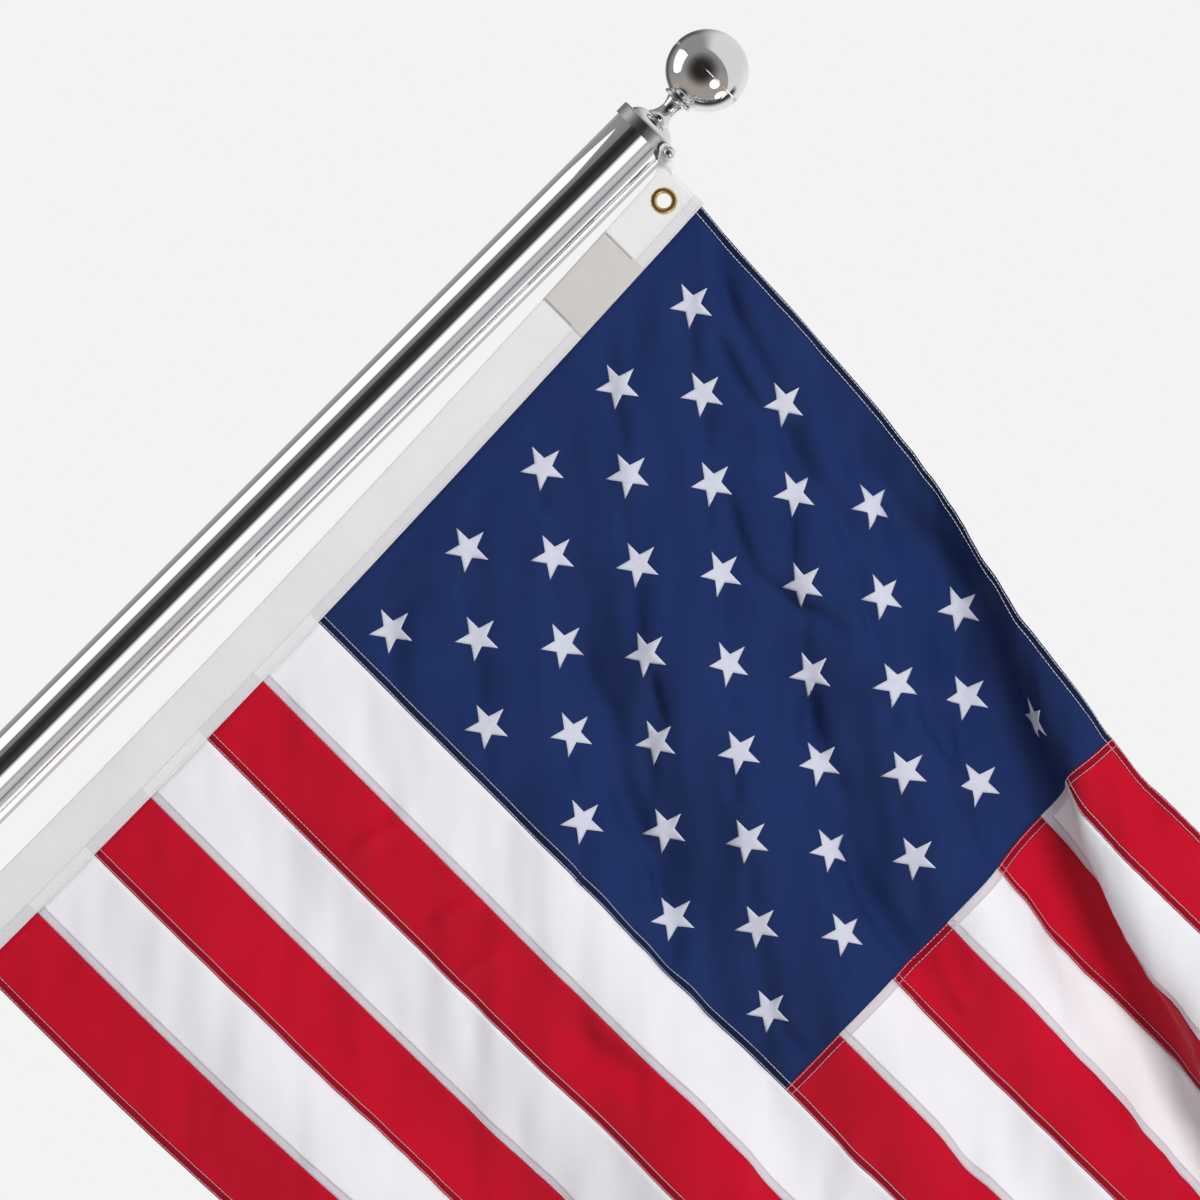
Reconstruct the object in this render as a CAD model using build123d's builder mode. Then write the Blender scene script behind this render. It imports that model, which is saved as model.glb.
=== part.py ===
"""A flag flying from a polished tube pole that leans out of a cast wall bracket.

Origin: middle of the bracket's back face, which lies on the wall (the YZ plane).
+X points away from the wall, +Z up. The pole and the flag hang in the XZ plane.
All sizes are in millimetres and degrees.
"""

import math
import os

from build123d import *

os.makedirs("parts", exist_ok=True)

# Pole
pole_angle = 45
pole_radius = 24.15
pole_wall = 2.0
pole_length = 1524
slip_fit = 0.1
touch_gap = 0.3

# Wall bracket: back plate, leaning socket and the web under it
plate_width = 100
plate_height = 150
plate_thickness = 8
plate_corner = 14
plate_rounding = 2.5
bolt_spacing_y = 72
bolt_spacing_z = 120
bolt_hole_radius = 3.5
socket_fit = 0.3
socket_wall = 6
socket_floor = 6
socket_depth = 120
socket_lip = 3
web_thickness = 9
web_foot = 62

# Clamping screws through the socket wall, at shares of its depth
clamp_shares = (0.38, 0.79)
clamp_radius = 4
clamp_boss_radius = 9
clamp_boss_height = 5
clamp_boss_rounding = 1
clamp_head_radius = 10
clamp_head_length = 12
clamp_grooves = 16
clamp_groove_radius = 1.1

# Cap on the pole's upper end
cap_overhang = 1.85
cap_skirt = 7
cap_plate = 3
cap_spigot = 20
cap_spigot_wall = 2.5
cap_rounding = 1.5

# Finial: base dome, waisted stem, collar disc and ball
dome_radius = 19.7
dome_height = 6.8
stem_foot_radius = 9.7
stem_foot_height = 0.8
stem_waist_radius = 5.75
stem_waist_height = 11.5
stem_head_radius = 7.9
stem_height = 19.2
disc_radius = 12
disc_thickness = 2.6
ball_radius = 30.5
ball_seat_radius = 10

# Ball-headed screws that carry the flag, one in the cap and one in the lower ring
screw_turn = 43
screw_below_cap_top = 4.7
screw_shank_radius = 2
screw_washer_radius = 3.2
screw_washer_thickness = 1
screw_ball_radius = 4.7
screw_ball_reach = 33.5
ring_height = 10

# Flag: canvas heading with two grommets, a blue canton and thirteen sewn stripes
stripe_count = 13
canton_stripes = 7
hoist = 764
cloth_inset = 2.5
heading_width = 40
heading_thickness = 1.6
heading_drop = 8
cloth_fly = 1179
canton_fly = 488
cloth_thickness = 0.8
seam_gap = 0.3
label_start = 64
label_length = 68
label_thickness = 0.5

# Where the heading hangs, measured from the pole's axis
heading_offset = 27
heading_lean = 21.4
heading_lean_length = 720
heading_plane = -10.6

# Grommets
grommet_from_end = 19
grommet_from_edge = 16.9
grommet_hole_radius = 5.4
grommet_barrel_radius = 6.8
grommet_flange_radius = 9.9
grommet_flange_height = 1.3

# Tabs that tie the heading's corners to the screws
tab_thickness = 1.4
tab_eye_radius = 2.6
tab_eye_outer_radius = 4.4
tab_half_width = 6.3
tab_sewn_length = 11
tab_sewn_depth = 6
tab_bend_radius = 4

# Folds: each runs along the fly and drifts down the hoist. Where it crosses the canton's
# fly edge it has a distance down the hoist, a height towards the viewer and a half width
# above and below its crest. It grows from its start to its full height along the fly.
# Columns: distance, height, width above, width below, start, full, drift
folds = (
    (-235, -16, 40, 40, 700, 1150, 0.36),
    (-165, 14, 38, 38, 640, 1050, 0.36),
    (-100, -18, 38, 38, 560, 900, 0.36),
    (-35, 15, 36, 36, 460, 800, 0.36),
    (28, 14, 40, 40, -200, 520, 0.36),
    (118, -50, 52, 70, 0, 540, 0.36),
    (185, 6, 40, 40, 0, 350, 0.36),
    (262, -14, 38, 38, -50, 350, 0.36),
    (338, 9, 40, 40, -50, 350, 0.36),
    (420, -12, 45, 45, 0, 350, 0.36),
    (500, 12, 50, 50, 0, 500, 0.36),
    (640, -26, 60, 60, -50, 500, 0.2),
    (740, 16, 50, 50, -50, 500, 0.2),
)
hoist_hold = 60
straight_v = 430
hem_sag = 8
hem_sag_depth = 50
hem_sag_start = 70
grid_steps_per_stripe = 6
canton_steps = 20
fly_steps = 28

# Directions worked out from the pole's angle
lean = math.radians(pole_angle)
pole_axis = Vector(math.cos(lean), 0, math.sin(lean))
flag_side = Vector(math.sin(lean), 0, -math.cos(lean))
bore_radius = pole_radius + socket_fit
socket_radius = bore_radius + socket_wall
lip_radius = socket_radius + socket_lip
clamp_heights = [share * socket_depth for share in clamp_shares]
foot_distance = (plate_thickness + socket_floor) / math.cos(lean) + bore_radius * math.tan(lean)
pole_frame = Plane(origin=pole_axis * foot_distance, x_dir=flag_side, z_dir=pole_axis)
profile_plane = Plane(origin=pole_frame.origin, x_dir=flag_side, z_dir=(0, -1, 0))
spin_axis = Axis(pole_frame.origin, pole_axis)
cap_top = pole_length + cap_plate
screw_height = cap_top - screw_below_cap_top
heading_top = screw_height - heading_drop
heading_length = hoist + 2 * cloth_inset
heading_bottom = heading_top - heading_length
cloth_top = heading_top - cloth_inset
lower_screw_height = heading_bottom - heading_drop
stripe_height = hoist / stripe_count
inner_radius = pole_radius - pole_wall
cap_radius = pole_radius + cap_overhang


def in_pole_frame(across, sideways, along):
    """A point given across the pole towards the flag, sideways and along the pole."""
    return pole_frame.from_local_coords(Vector(across, sideways, along))


def screw_plane(height, reach):
    """A plane square to a flag screw, at a distance from the pole's axis."""
    turn = math.radians(screw_turn)
    outwards = flag_side * math.sin(turn) + Vector(0, -1, 0) * math.cos(turn)
    centre = in_pole_frame(0, 0, height) + outwards * reach
    return Plane(origin=centre, x_dir=pole_axis, z_dir=outwards)


# The bracket is one casting: plate, socket, web and screw bosses
with BuildPart() as wall_bracket:
    with BuildSketch(Plane.YZ):
        RectangleRounded(plate_width, plate_height, plate_corner)
    extrude(amount=plate_thickness)
    plate_front = wall_bracket.faces().sort_by(Axis.X)[-1]
    fillet(plate_front.edges(), radius=plate_rounding)
    with BuildSketch(pole_frame.offset(-foot_distance - socket_radius)):
        Circle(socket_radius)
    extrude(amount=foot_distance + socket_radius + socket_depth)
    with BuildSketch(pole_frame.offset(socket_depth - 2 * socket_lip)):
        Circle(lip_radius)
    extrude(amount=2 * socket_lip)
    circles = wall_bracket.edges().filter_by(GeomType.CIRCLE)
    fillet(circles.group_by(SortBy.RADIUS)[-1], radius=socket_lip / 2)
    with BuildSketch(Plane.XZ):
        with BuildLine():
            web_tip = pole_axis * (foot_distance + socket_depth - 4 * socket_lip)
            tip = web_tip + flag_side * socket_radius
            Polyline((0, -web_foot), (0, 0), (web_tip.X, web_tip.Z), (tip.X, tip.Z))
            ThreePointArc((tip.X, tip.Z), (0.42 * tip.X, -0.18 * web_foot), (0, -web_foot))
        make_face()
    extrude(amount=web_thickness / 2, both=True)
    for height in clamp_heights:
        boss = Plane(origin=in_pole_frame(0, 0, height), z_dir=(0, -1, 0))
        with BuildSketch(boss):
            Circle(clamp_boss_radius)
        extrude(amount=socket_radius + clamp_boss_height)
    boss_faces = wall_bracket.faces().group_by(Axis.Y)[0]
    fillet(boss_faces.edges(), radius=clamp_boss_rounding)
    split(bisect_by=Plane.YZ, keep=Keep.TOP)
    with BuildSketch(pole_frame.offset(-touch_gap)):
        Circle(bore_radius)
    extrude(amount=touch_gap + socket_depth, mode=Mode.SUBTRACT)
    for height in clamp_heights:
        boss = Plane(origin=in_pole_frame(0, 0, height), z_dir=(0, -1, 0))
        with BuildSketch(boss):
            Circle(clamp_radius + slip_fit)
        extrude(amount=socket_radius + clamp_boss_height, mode=Mode.SUBTRACT)
    with BuildSketch(Plane.YZ):
        with GridLocations(bolt_spacing_y, bolt_spacing_z, 2, 2):
            Circle(bolt_hole_radius)
    extrude(amount=plate_thickness, mode=Mode.SUBTRACT)
wall_bracket.part.label = "wall_bracket"
export_step(wall_bracket.part, "parts/wall_bracket.step")


def clamp_screw(name, height):
    """A grooved thumb screw whose tip stops just short of the tube."""
    seat = socket_radius + clamp_boss_height
    tip = pole_radius + touch_gap
    with BuildPart() as screw:
        with BuildSketch(Plane(origin=in_pole_frame(0, -tip, height), z_dir=(0, -1, 0))):
            Circle(clamp_radius)
        extrude(amount=seat - tip)
        with BuildSketch(Plane(origin=in_pole_frame(0, -seat, height), z_dir=(0, -1, 0))):
            Circle(clamp_head_radius)
            with PolarLocations(clamp_head_radius, clamp_grooves):
                Circle(clamp_groove_radius, mode=Mode.SUBTRACT)
        extrude(amount=clamp_head_length)
    screw.part.label = name
    export_step(screw.part, f"parts/{name}.step")


for number, height in enumerate(clamp_heights, start=1):
    clamp_screw(f"clamp_screw_{number}", height)

# The pole is one length of drawn tube
with BuildPart() as pole_tube:
    with BuildSketch(pole_frame):
        Circle(pole_radius)
        Circle(inner_radius, mode=Mode.SUBTRACT)
    extrude(amount=pole_length)
pole_tube.part.label = "pole_tube"
export_step(pole_tube.part, "parts/pole_tube.step")

# The cap has a skirt outside the tube and a hollow spigot inside it
spigot_radius = inner_radius - slip_fit
spigot_bore = spigot_radius - cap_spigot_wall
skirt_bore = pole_radius + slip_fit
with BuildPart() as pole_cap:
    with BuildSketch(profile_plane):
        with BuildLine():
            Polyline(
                (0, pole_length),
                (spigot_bore, pole_length),
                (spigot_bore, pole_length - cap_spigot),
                (spigot_radius, pole_length - cap_spigot),
                (spigot_radius, pole_length),
                (skirt_bore, pole_length),
                (skirt_bore, pole_length - cap_skirt),
                (cap_radius, pole_length - cap_skirt),
                (cap_radius, cap_top - cap_rounding),
            )
            RadiusArc(
                (cap_radius, cap_top - cap_rounding),
                (cap_radius - cap_rounding, cap_top),
                -cap_rounding,
            )
            Polyline((cap_radius - cap_rounding, cap_top), (0, cap_top), (0, pole_length))
        make_face()
    revolve(axis=spin_axis)
    with BuildSketch(screw_plane(screw_height, skirt_bore - slip_fit)):
        Circle(screw_shank_radius + slip_fit)
    extrude(amount=cap_overhang * 2, mode=Mode.SUBTRACT)
pole_cap.part.label = "pole_cap"
export_step(pole_cap.part, "parts/pole_cap.step")

# The finial is stacked from four turned pieces, each seated flat on the one below
dome_top = cap_top + dome_height
with BuildPart() as finial_base:
    with BuildSketch(profile_plane):
        with BuildLine():
            shoulder = (
                stem_foot_radius + 0.6 * (dome_radius - stem_foot_radius),
                cap_top + 0.68 * dome_height,
            )
            Line((0, cap_top), (dome_radius, cap_top))
            ThreePointArc((dome_radius, cap_top), shoulder, (stem_foot_radius, dome_top))
            Polyline((stem_foot_radius, dome_top), (0, dome_top), (0, cap_top))
        make_face()
    revolve(axis=spin_axis)
finial_base.part.label = "finial_base"
export_step(finial_base.part, "parts/finial_base.step")

stem_top = dome_top + stem_height
with BuildPart() as finial_stem:
    with BuildSketch(profile_plane):
        with BuildLine():
            cove_start = (stem_foot_radius, dome_top + stem_foot_height)
            cove_end = (stem_head_radius, stem_top - stem_foot_height)
            Polyline((0, dome_top), (stem_foot_radius, dome_top), cove_start)
            ThreePointArc(cove_start, (stem_waist_radius, dome_top + stem_waist_height), cove_end)
            Polyline(cove_end, (stem_head_radius, stem_top), (0, stem_top), (0, dome_top))
        make_face()
    revolve(axis=spin_axis)
finial_stem.part.label = "finial_stem"
export_step(finial_stem.part, "parts/finial_stem.step")

disc_top = stem_top + disc_thickness
with BuildPart() as finial_disc:
    with BuildSketch(pole_frame.offset(stem_top)):
        Circle(disc_radius)
    extrude(amount=disc_thickness)
    fillet(finial_disc.edges().filter_by(GeomType.CIRCLE), radius=0.48 * disc_thickness)
finial_disc.part.label = "finial_disc"
export_step(finial_disc.part, "parts/finial_disc.step")

ball_centre = disc_top + math.sqrt(ball_radius**2 - ball_seat_radius**2)
with BuildPart() as finial_ball:
    with BuildSketch(profile_plane):
        with BuildLine():
            seat_edge = (ball_seat_radius, disc_top)
            crown = (0, ball_centre + ball_radius)
            ThreePointArc(seat_edge, (ball_radius, ball_centre), crown)
            Polyline(crown, (0, disc_top), seat_edge)
        make_face()
    revolve(axis=spin_axis)
finial_ball.part.label = "finial_ball"
export_step(finial_ball.part, "parts/finial_ball.step")

# The lower ring grips the tube where the heading ends
with BuildPart() as lower_ring:
    with BuildSketch(pole_frame.offset(lower_screw_height - ring_height / 2)):
        Circle(cap_radius)
        Circle(skirt_bore, mode=Mode.SUBTRACT)
    extrude(amount=ring_height)
    circles = lower_ring.edges().filter_by(GeomType.CIRCLE)
    fillet(circles.group_by(SortBy.RADIUS)[-1], radius=cap_rounding / 2)
    with BuildSketch(screw_plane(lower_screw_height, skirt_bore - slip_fit)):
        Circle(screw_shank_radius + slip_fit)
    extrude(amount=cap_overhang * 2, mode=Mode.SUBTRACT)
lower_ring.part.label = "lower_ring"
export_step(lower_ring.part, "parts/lower_ring.step")


def flag_screw(name, height):
    """A turned screw with a washer and a ball for a head."""
    tip = pole_radius + touch_gap
    washer = cap_radius + slip_fit / 2
    with BuildPart() as screw:
        with BuildSketch(screw_plane(height, tip)):
            Circle(screw_shank_radius)
        extrude(amount=screw_ball_reach - tip)
        with BuildSketch(screw_plane(height, washer)):
            Circle(screw_washer_radius)
        extrude(amount=screw_washer_thickness)
        with Locations(screw_plane(height, screw_ball_reach).location):
            Sphere(screw_ball_radius)
    screw.part.label = name
    export_step(screw.part, f"parts/{name}.step")


flag_screw("flag_screw_upper", screw_height)
flag_screw("flag_screw_lower", lower_screw_height)


def hoist_edge(drop):
    """Distance of the heading's pole-side edge from the pole's axis, at a drop from its top."""
    share = min(drop / heading_lean_length, 1)
    return heading_offset + heading_lean * math.sin(share * math.pi / 2)


def hoist_plane(sideways):
    """The profile plane moved to a sideways distance."""
    return Plane(origin=in_pole_frame(0, sideways, 0), x_dir=flag_side, z_dir=(0, -1, 0))


def heading_strip(name, start, end, back, thickness, holes=()):
    """A flat strip that follows the heading between two drops from its top."""
    steps = max(2, round((end - start) / 120))
    drops = [start + (end - start) * i / steps for i in range(steps + 1)]
    inner = [(hoist_edge(drop), heading_top - drop) for drop in drops]
    outer = [(across + heading_width, height) for across, height in inner]
    with BuildPart() as strip:
        with BuildSketch(hoist_plane(back)):
            with BuildLine():
                Spline(*inner)
                Line(inner[-1], outer[-1])
                Spline(*reversed(outer))
                Line(outer[0], inner[0])
            make_face()
            for hole in holes:
                with Locations(hole):
                    Circle(grommet_barrel_radius + slip_fit, mode=Mode.SUBTRACT)
        extrude(amount=thickness)
    strip.part.label = name
    export_step(strip.part, f"parts/{name}.step")


# The heading is a folded strip of canvas with a hole for each grommet. The woven
# label lies on its front face and is left bare.
grommet_places = [
    (hoist_edge(drop) + grommet_from_edge, heading_top - drop)
    for drop in (grommet_from_end, heading_length - grommet_from_end)
]
heading_front = heading_plane - heading_thickness / 2
heading_back = heading_plane + heading_thickness / 2
label_end = label_start + label_length
heading_strip("heading", 0, heading_length, heading_back, heading_thickness, grommet_places)
heading_strip("blank_label", label_start, label_end, heading_front, label_thickness)


def grommet(name, place):
    """A brass barrel with a rounded flange rolled over each face of the heading."""
    half = heading_thickness / 2
    rim = half + grommet_flange_height
    mid_flange = (grommet_hole_radius + grommet_flange_radius) / 2
    with BuildPart() as ring:
        with BuildSketch(Plane.XZ):
            with BuildLine():
                Polyline(
                    (grommet_hole_radius, -half),
                    (grommet_hole_radius, half),
                )
                ThreePointArc(
                    (grommet_hole_radius, half), (mid_flange, rim), (grommet_flange_radius, half)
                )
                Polyline(
                    (grommet_flange_radius, half),
                    (grommet_barrel_radius, half),
                    (grommet_barrel_radius, -half),
                    (grommet_flange_radius, -half),
                )
                ThreePointArc(
                    (grommet_flange_radius, -half), (mid_flange, -rim), (grommet_hole_radius, -half)
                )
            make_face()
        revolve(axis=Axis.Z)
    centre = in_pole_frame(place[0], heading_plane, place[1])
    turned = Plane(origin=centre, x_dir=flag_side, z_dir=(0, -1, 0)).location * ring.part
    turned.label = name
    export_step(turned, f"parts/{name}.step")


grommet("grommet_upper", grommet_places[0])
grommet("grommet_lower", grommet_places[1])


def corner_tab(name, height, drop, towards_heading):
    """A bent canvas tab: its eye hangs on the screw and its tail is sewn on the heading."""
    turn = math.radians(screw_turn)
    washer_top = cap_radius + slip_fit / 2 + screw_washer_thickness
    reach = washer_top + touch_gap + tab_thickness / 2
    tail_plane = heading_front - tab_thickness / 2
    bend = (tail_plane + reach * math.cos(turn)) / math.sin(turn)
    eye_side = -tab_half_width - tab_thickness

    def along_leg(distance):
        return (
            reach * math.sin(turn) + distance * math.cos(turn),
            -reach * math.cos(turn) + distance * math.sin(turn),
        )

    tail_end = hoist_edge(drop) + tab_sewn_length
    tail_centre = (
        tail_end - tab_half_width,
        height + towards_heading * (heading_drop + tab_sewn_depth),
    )
    with BuildPart() as tab:
        with BuildSketch(pole_frame.offset(height - 3 * heading_drop)):
            with BuildLine():
                FilletPolyline(
                    along_leg(eye_side),
                    along_leg(bend),
                    (tail_end + tab_half_width, tail_plane),
                    radius=tab_bend_radius,
                )
            trace(line_width=tab_thickness)
        extrude(amount=6 * heading_drop)
        with BuildSketch(profile_plane):
            with Locations((along_leg(0)[0], height)):
                Circle(tab_eye_outer_radius)
            with Locations(tail_centre):
                Circle(tab_half_width)
            make_hull()
        extrude(amount=2 * screw_ball_reach, both=True, mode=Mode.INTERSECT)
        with BuildSketch(screw_plane(height, cap_radius)):
            Circle(tab_eye_radius)
        extrude(amount=screw_ball_reach - cap_radius, mode=Mode.SUBTRACT)
    tab.part.label = name
    export_step(tab.part, f"parts/{name}.step")


corner_tab("tab_upper", screw_height, 0, -1)
corner_tab("tab_lower", lower_screw_height, heading_length, 1)


def eased(share):
    """A smooth rise from 0 to 1."""
    share = min(max(share, 0), 1)
    return share * share * (3 - 2 * share)


def sideways_swing(u, v):
    """How far the cloth swings out of its plane, u along the fly and v down the hoist."""
    swing = 0
    for distance, height, above, below, start, full, drift in folds:
        from_crest = v - distance - drift * (u - canton_fly)
        half_width = above if from_crest < 0 else below
        growth = eased((u - start) / (full - start))
        swing += height * growth * math.exp(-((from_crest / half_width) ** 2))
    return heading_plane - swing * (1 - math.exp(-u / hoist_hold))


def cloth_grid():
    """Points of the hanging cloth on a grid, spaced so that the cloth keeps its length both ways."""
    u_values = [canton_fly * i / canton_steps for i in range(canton_steps)]
    rest = cloth_fly - canton_fly
    u_values += [canton_fly + rest * i / fly_steps for i in range(fly_steps + 1)]
    v_step = stripe_height / grid_steps_per_stripe
    v_count = stripe_count * grid_steps_per_stripe
    swing = [[sideways_swing(u, v_step * j) for j in range(v_count + 1)] for u in u_values]
    straight = round(straight_v / v_step)
    heights = []
    for u, row in zip(u_values, swing):
        column = [0] * (v_count + 1)
        column[straight] = cloth_top - straight * v_step
        for j in range(straight, v_count):
            column[j + 1] = column[j] - math.sqrt(max(v_step**2 - (row[j + 1] - row[j]) ** 2, 0))
        for j in range(straight, 0, -1):
            column[j - 1] = column[j] + math.sqrt(max(v_step**2 - (row[j - 1] - row[j]) ** 2, 0))
        sag = hem_sag * (1 - math.exp(-u / hem_sag_start))
        heights.append([h - sag * math.exp(-v_step * j / hem_sag_depth) for j, h in enumerate(column)])
    seam = heading_width + seam_gap
    across = [[hoist_edge(cloth_inset + v_step * j) + seam for j in range(v_count + 1)]]
    for i in range(1, len(u_values)):
        step = u_values[i] - u_values[i - 1]
        across.append(
            [
                across[i - 1][j]
                + math.sqrt(
                    step**2
                    - (swing[i][j] - swing[i - 1][j]) ** 2
                    - (heights[i][j] - heights[i - 1][j]) ** 2
                )
                for j in range(v_count + 1)
            ]
        )
    return [
        [in_pole_frame(across[i][j], swing[i][j], heights[i][j]) for j in range(v_count + 1)]
        for i in range(len(u_values))
    ]


def facing_out(grid, i, j):
    """The cloth's outward direction at one point of its grid."""
    along = grid[min(i + 1, len(grid) - 1)][j] - grid[max(i - 1, 0)][j]
    down = grid[i][min(j + 1, len(grid[i]) - 1)] - grid[i][max(j - 1, 0)]
    return along.cross(down).normalized()


def drawn_in(points, distance):
    """The row of points with its two ends drawn in by a distance, to leave room for a seam."""
    first = points[0] + (points[1] - points[0]).normalized() * distance
    last = points[-1] + (points[-2] - points[-1]).normalized() * distance
    return [first, *points[1:-1], last]


def cloth_panel(name, grid, first_u, last_u, first_v, last_v):
    """One sewn panel: a smooth front and back through offset grid points, closed by ruled edges."""
    faces = []
    for offset in (cloth_thickness / 2, -cloth_thickness / 2):
        rows = []
        for i in range(first_u, last_u + 1):
            row = [grid[i][j] + facing_out(grid, i, j) * offset for j in range(first_v, last_v + 1)]
            rows.append(drawn_in(row, seam_gap / 2))
        columns = [drawn_in(list(column), seam_gap / 2) for column in zip(*rows)]
        points = [list(row) for row in zip(*columns)]
        faces.append(
            Face.make_surface_from_array_of_points(
                points, tol=0.2, smoothing=(1, 0.5, 0.2), min_deg=3, max_deg=8
            )
        )
    front, back = faces
    for edge in front.edges():
        middle = edge @ 0.5
        partner = back.edges().sort_by_distance(middle)[0]
        faces.append(Face.make_surface_from_curves(edge, partner))
    with BuildPart() as panel:
        add(Solid(Shell(faces)))
    panel.part.label = name
    export_step(panel.part, f"parts/{name}.step")


flag_grid = cloth_grid()
last_step = canton_steps + fly_steps
canton_rows = canton_stripes * grid_steps_per_stripe
cloth_panel("canton", flag_grid, 0, canton_steps, 0, canton_rows)
for number in range(stripe_count):
    start_u = canton_steps if number < canton_stripes else 0
    top_row = number * grid_steps_per_stripe
    bottom_row = top_row + grid_steps_per_stripe
    cloth_panel(f"stripe_{number + 1:02d}", flag_grid, start_u, last_step, top_row, bottom_row)
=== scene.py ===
# %% [markdown]
# # A sewn flag on a polished pole
#
# The object is a polished steel tube that leans 45 degrees out of a wall bracket, with a
# ball finial on its cap and a sewn nylon flag beside it. The exact metal parts come
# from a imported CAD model. This lesson dresses them: it gives every metal its
# finish, sews the cloth panels, stitches and stars in mesh code, and lights the
# object like a product on a pale studio background. All lengths are in metres.

# %% Load the frame
import math

import bmesh
import bpy
import numpy as np
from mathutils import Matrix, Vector, noise


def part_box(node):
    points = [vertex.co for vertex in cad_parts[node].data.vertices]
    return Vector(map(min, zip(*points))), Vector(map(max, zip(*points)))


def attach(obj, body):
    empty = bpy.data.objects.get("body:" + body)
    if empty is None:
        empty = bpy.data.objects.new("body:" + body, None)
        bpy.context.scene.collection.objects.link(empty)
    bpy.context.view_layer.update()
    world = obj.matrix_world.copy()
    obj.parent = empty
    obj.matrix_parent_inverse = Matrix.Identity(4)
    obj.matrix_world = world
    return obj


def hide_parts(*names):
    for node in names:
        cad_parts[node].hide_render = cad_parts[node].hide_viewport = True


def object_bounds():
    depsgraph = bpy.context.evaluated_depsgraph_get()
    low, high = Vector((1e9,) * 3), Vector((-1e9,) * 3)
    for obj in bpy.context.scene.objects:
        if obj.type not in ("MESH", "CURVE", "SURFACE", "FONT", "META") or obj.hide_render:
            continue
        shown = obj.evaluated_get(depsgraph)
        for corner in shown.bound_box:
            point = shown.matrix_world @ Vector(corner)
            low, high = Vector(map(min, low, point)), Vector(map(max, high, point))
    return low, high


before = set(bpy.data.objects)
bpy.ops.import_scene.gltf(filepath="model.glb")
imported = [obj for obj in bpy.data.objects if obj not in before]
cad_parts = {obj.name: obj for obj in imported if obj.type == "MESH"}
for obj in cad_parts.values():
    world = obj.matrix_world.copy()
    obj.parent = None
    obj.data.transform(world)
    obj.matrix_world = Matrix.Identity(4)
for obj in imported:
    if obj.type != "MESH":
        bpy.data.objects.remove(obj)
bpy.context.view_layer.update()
bpy.context.scene.view_settings.view_transform = "Standard"
bpy.ops.object.select_all(action="DESELECT")
mm = 0.001
print("nodes in the frame:", len(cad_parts))


def node(name):
    """The CAD object with this name."""
    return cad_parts[name]


# %% [markdown]
# ## Directions
#
# The pole, the heading and the hems all follow one leaning direction. Three
# perpendicular directions describe every place on this object: up along the pole,
# across from the pole towards the flag, and out towards the viewer. The end of the
# pole is read from the box of the finial's disc, so nothing has to be fitted by eye.

# %% Pole directions and the flag's corner
LEAN = math.radians(45)
ALONG = np.array([math.cos(LEAN), 0.0, math.sin(LEAN)])
ACROSS = np.array([math.sin(LEAN), 0.0, -math.cos(LEAN)])
OUT = np.array([0.0, -1.0, 0.0])
STRIPES = 13
CANTON_STRIPES = 7
HOIST = 764 * mm
CANTON_FLY = 488 * mm
CLOTH_FLY = 1179 * mm
STRIPE = HOIST / STRIPES
HEADING_WIDTH = 40 * mm
HEADING_LENGTH = 769 * mm
CLOTH_INSET = 2.5 * mm
HEADING_OFFSET = 27 * mm
HEADING_LEAN = 21.4 * mm
HEADING_LEAN_LENGTH = 720 * mm
HEADING_PLANE = 10.6 * mm
TUBE_RADIUS = 24.15 * mm

tube_high = np.array(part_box("pole_tube")[1])
tube_top = tube_high[0] - TUBE_RADIUS * math.sin(LEAN)
CAP_PLATE = 3 * mm
SCREW_DROP = 4.7 * mm
HEADING_DROP = 8 * mm
POLE_TOP = tube_top / math.cos(LEAN)
HEADING_TOP = POLE_TOP + CAP_PLATE - SCREW_DROP - HEADING_DROP
print("pole's top end lies", round(POLE_TOP, 4), "m up its axis")


def place(across, out, along):
    """Points given across from the pole, out towards the viewer and along the pole."""
    across, out, along = np.broadcast_arrays(across, out, along)
    return across[..., None] * ACROSS + out[..., None] * OUT + along[..., None] * ALONG


def hoist_edge(drop):
    """Distance from the pole's axis to the heading's near edge, at a drop from its top."""
    share = np.minimum(np.asarray(drop) / HEADING_LEAN_LENGTH, 1)
    return HEADING_OFFSET + HEADING_LEAN * np.sin(share * math.pi / 2)


# %% [markdown]
# ## The camera
#
# The camera looks level and square at the plane of the pole and flag, as in the product
# photograph. A long lens keeps the pole's sides parallel. The pole's cap is placed in
# the frame first, and the rest of the frame follows from the scale of one pixel.

# %% Camera
PIXEL = 0.728 * mm
IMAGE = 1200
CAP_PIXEL = (651.3, 126.6)
LENS = 1000
SENSOR = 36
cap_top = (POLE_TOP + CAP_PLATE) * ALONG
frame_width = IMAGE * PIXEL
view_x = cap_top[0] + (IMAGE / 2 - CAP_PIXEL[0]) * PIXEL
view_z = cap_top[2] - (IMAGE / 2 - CAP_PIXEL[1]) * PIXEL
camera_distance = frame_width * LENS / SENSOR
camera_data = bpy.data.cameras.new("studio_camera")
camera_data.lens = LENS
camera_data.sensor_width = SENSOR
camera_data.clip_end = 50
camera = bpy.data.objects.new("studio_camera", camera_data)
camera.location = (view_x, -camera_distance, view_z)
camera.rotation_euler = (math.pi / 2, 0, 0)
bpy.context.scene.collection.objects.link(camera)
bpy.context.scene.camera = camera
print("camera at", [round(x, 3) for x in camera.location])

# %% [markdown]
# ## The hanging cloth
#
# The whole flag is one smooth surface. It is described by how far the cloth swings
# out of its plane at a distance u along the fly and v down the hoist. Each fold is
# a soft ridge or valley that starts near the heading, grows along the fly and drifts
# down the hoist. Cloth doesn't stretch, so the points are then spaced by walking
# along the surface: where the cloth swings, its rows draw closer together.

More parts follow.
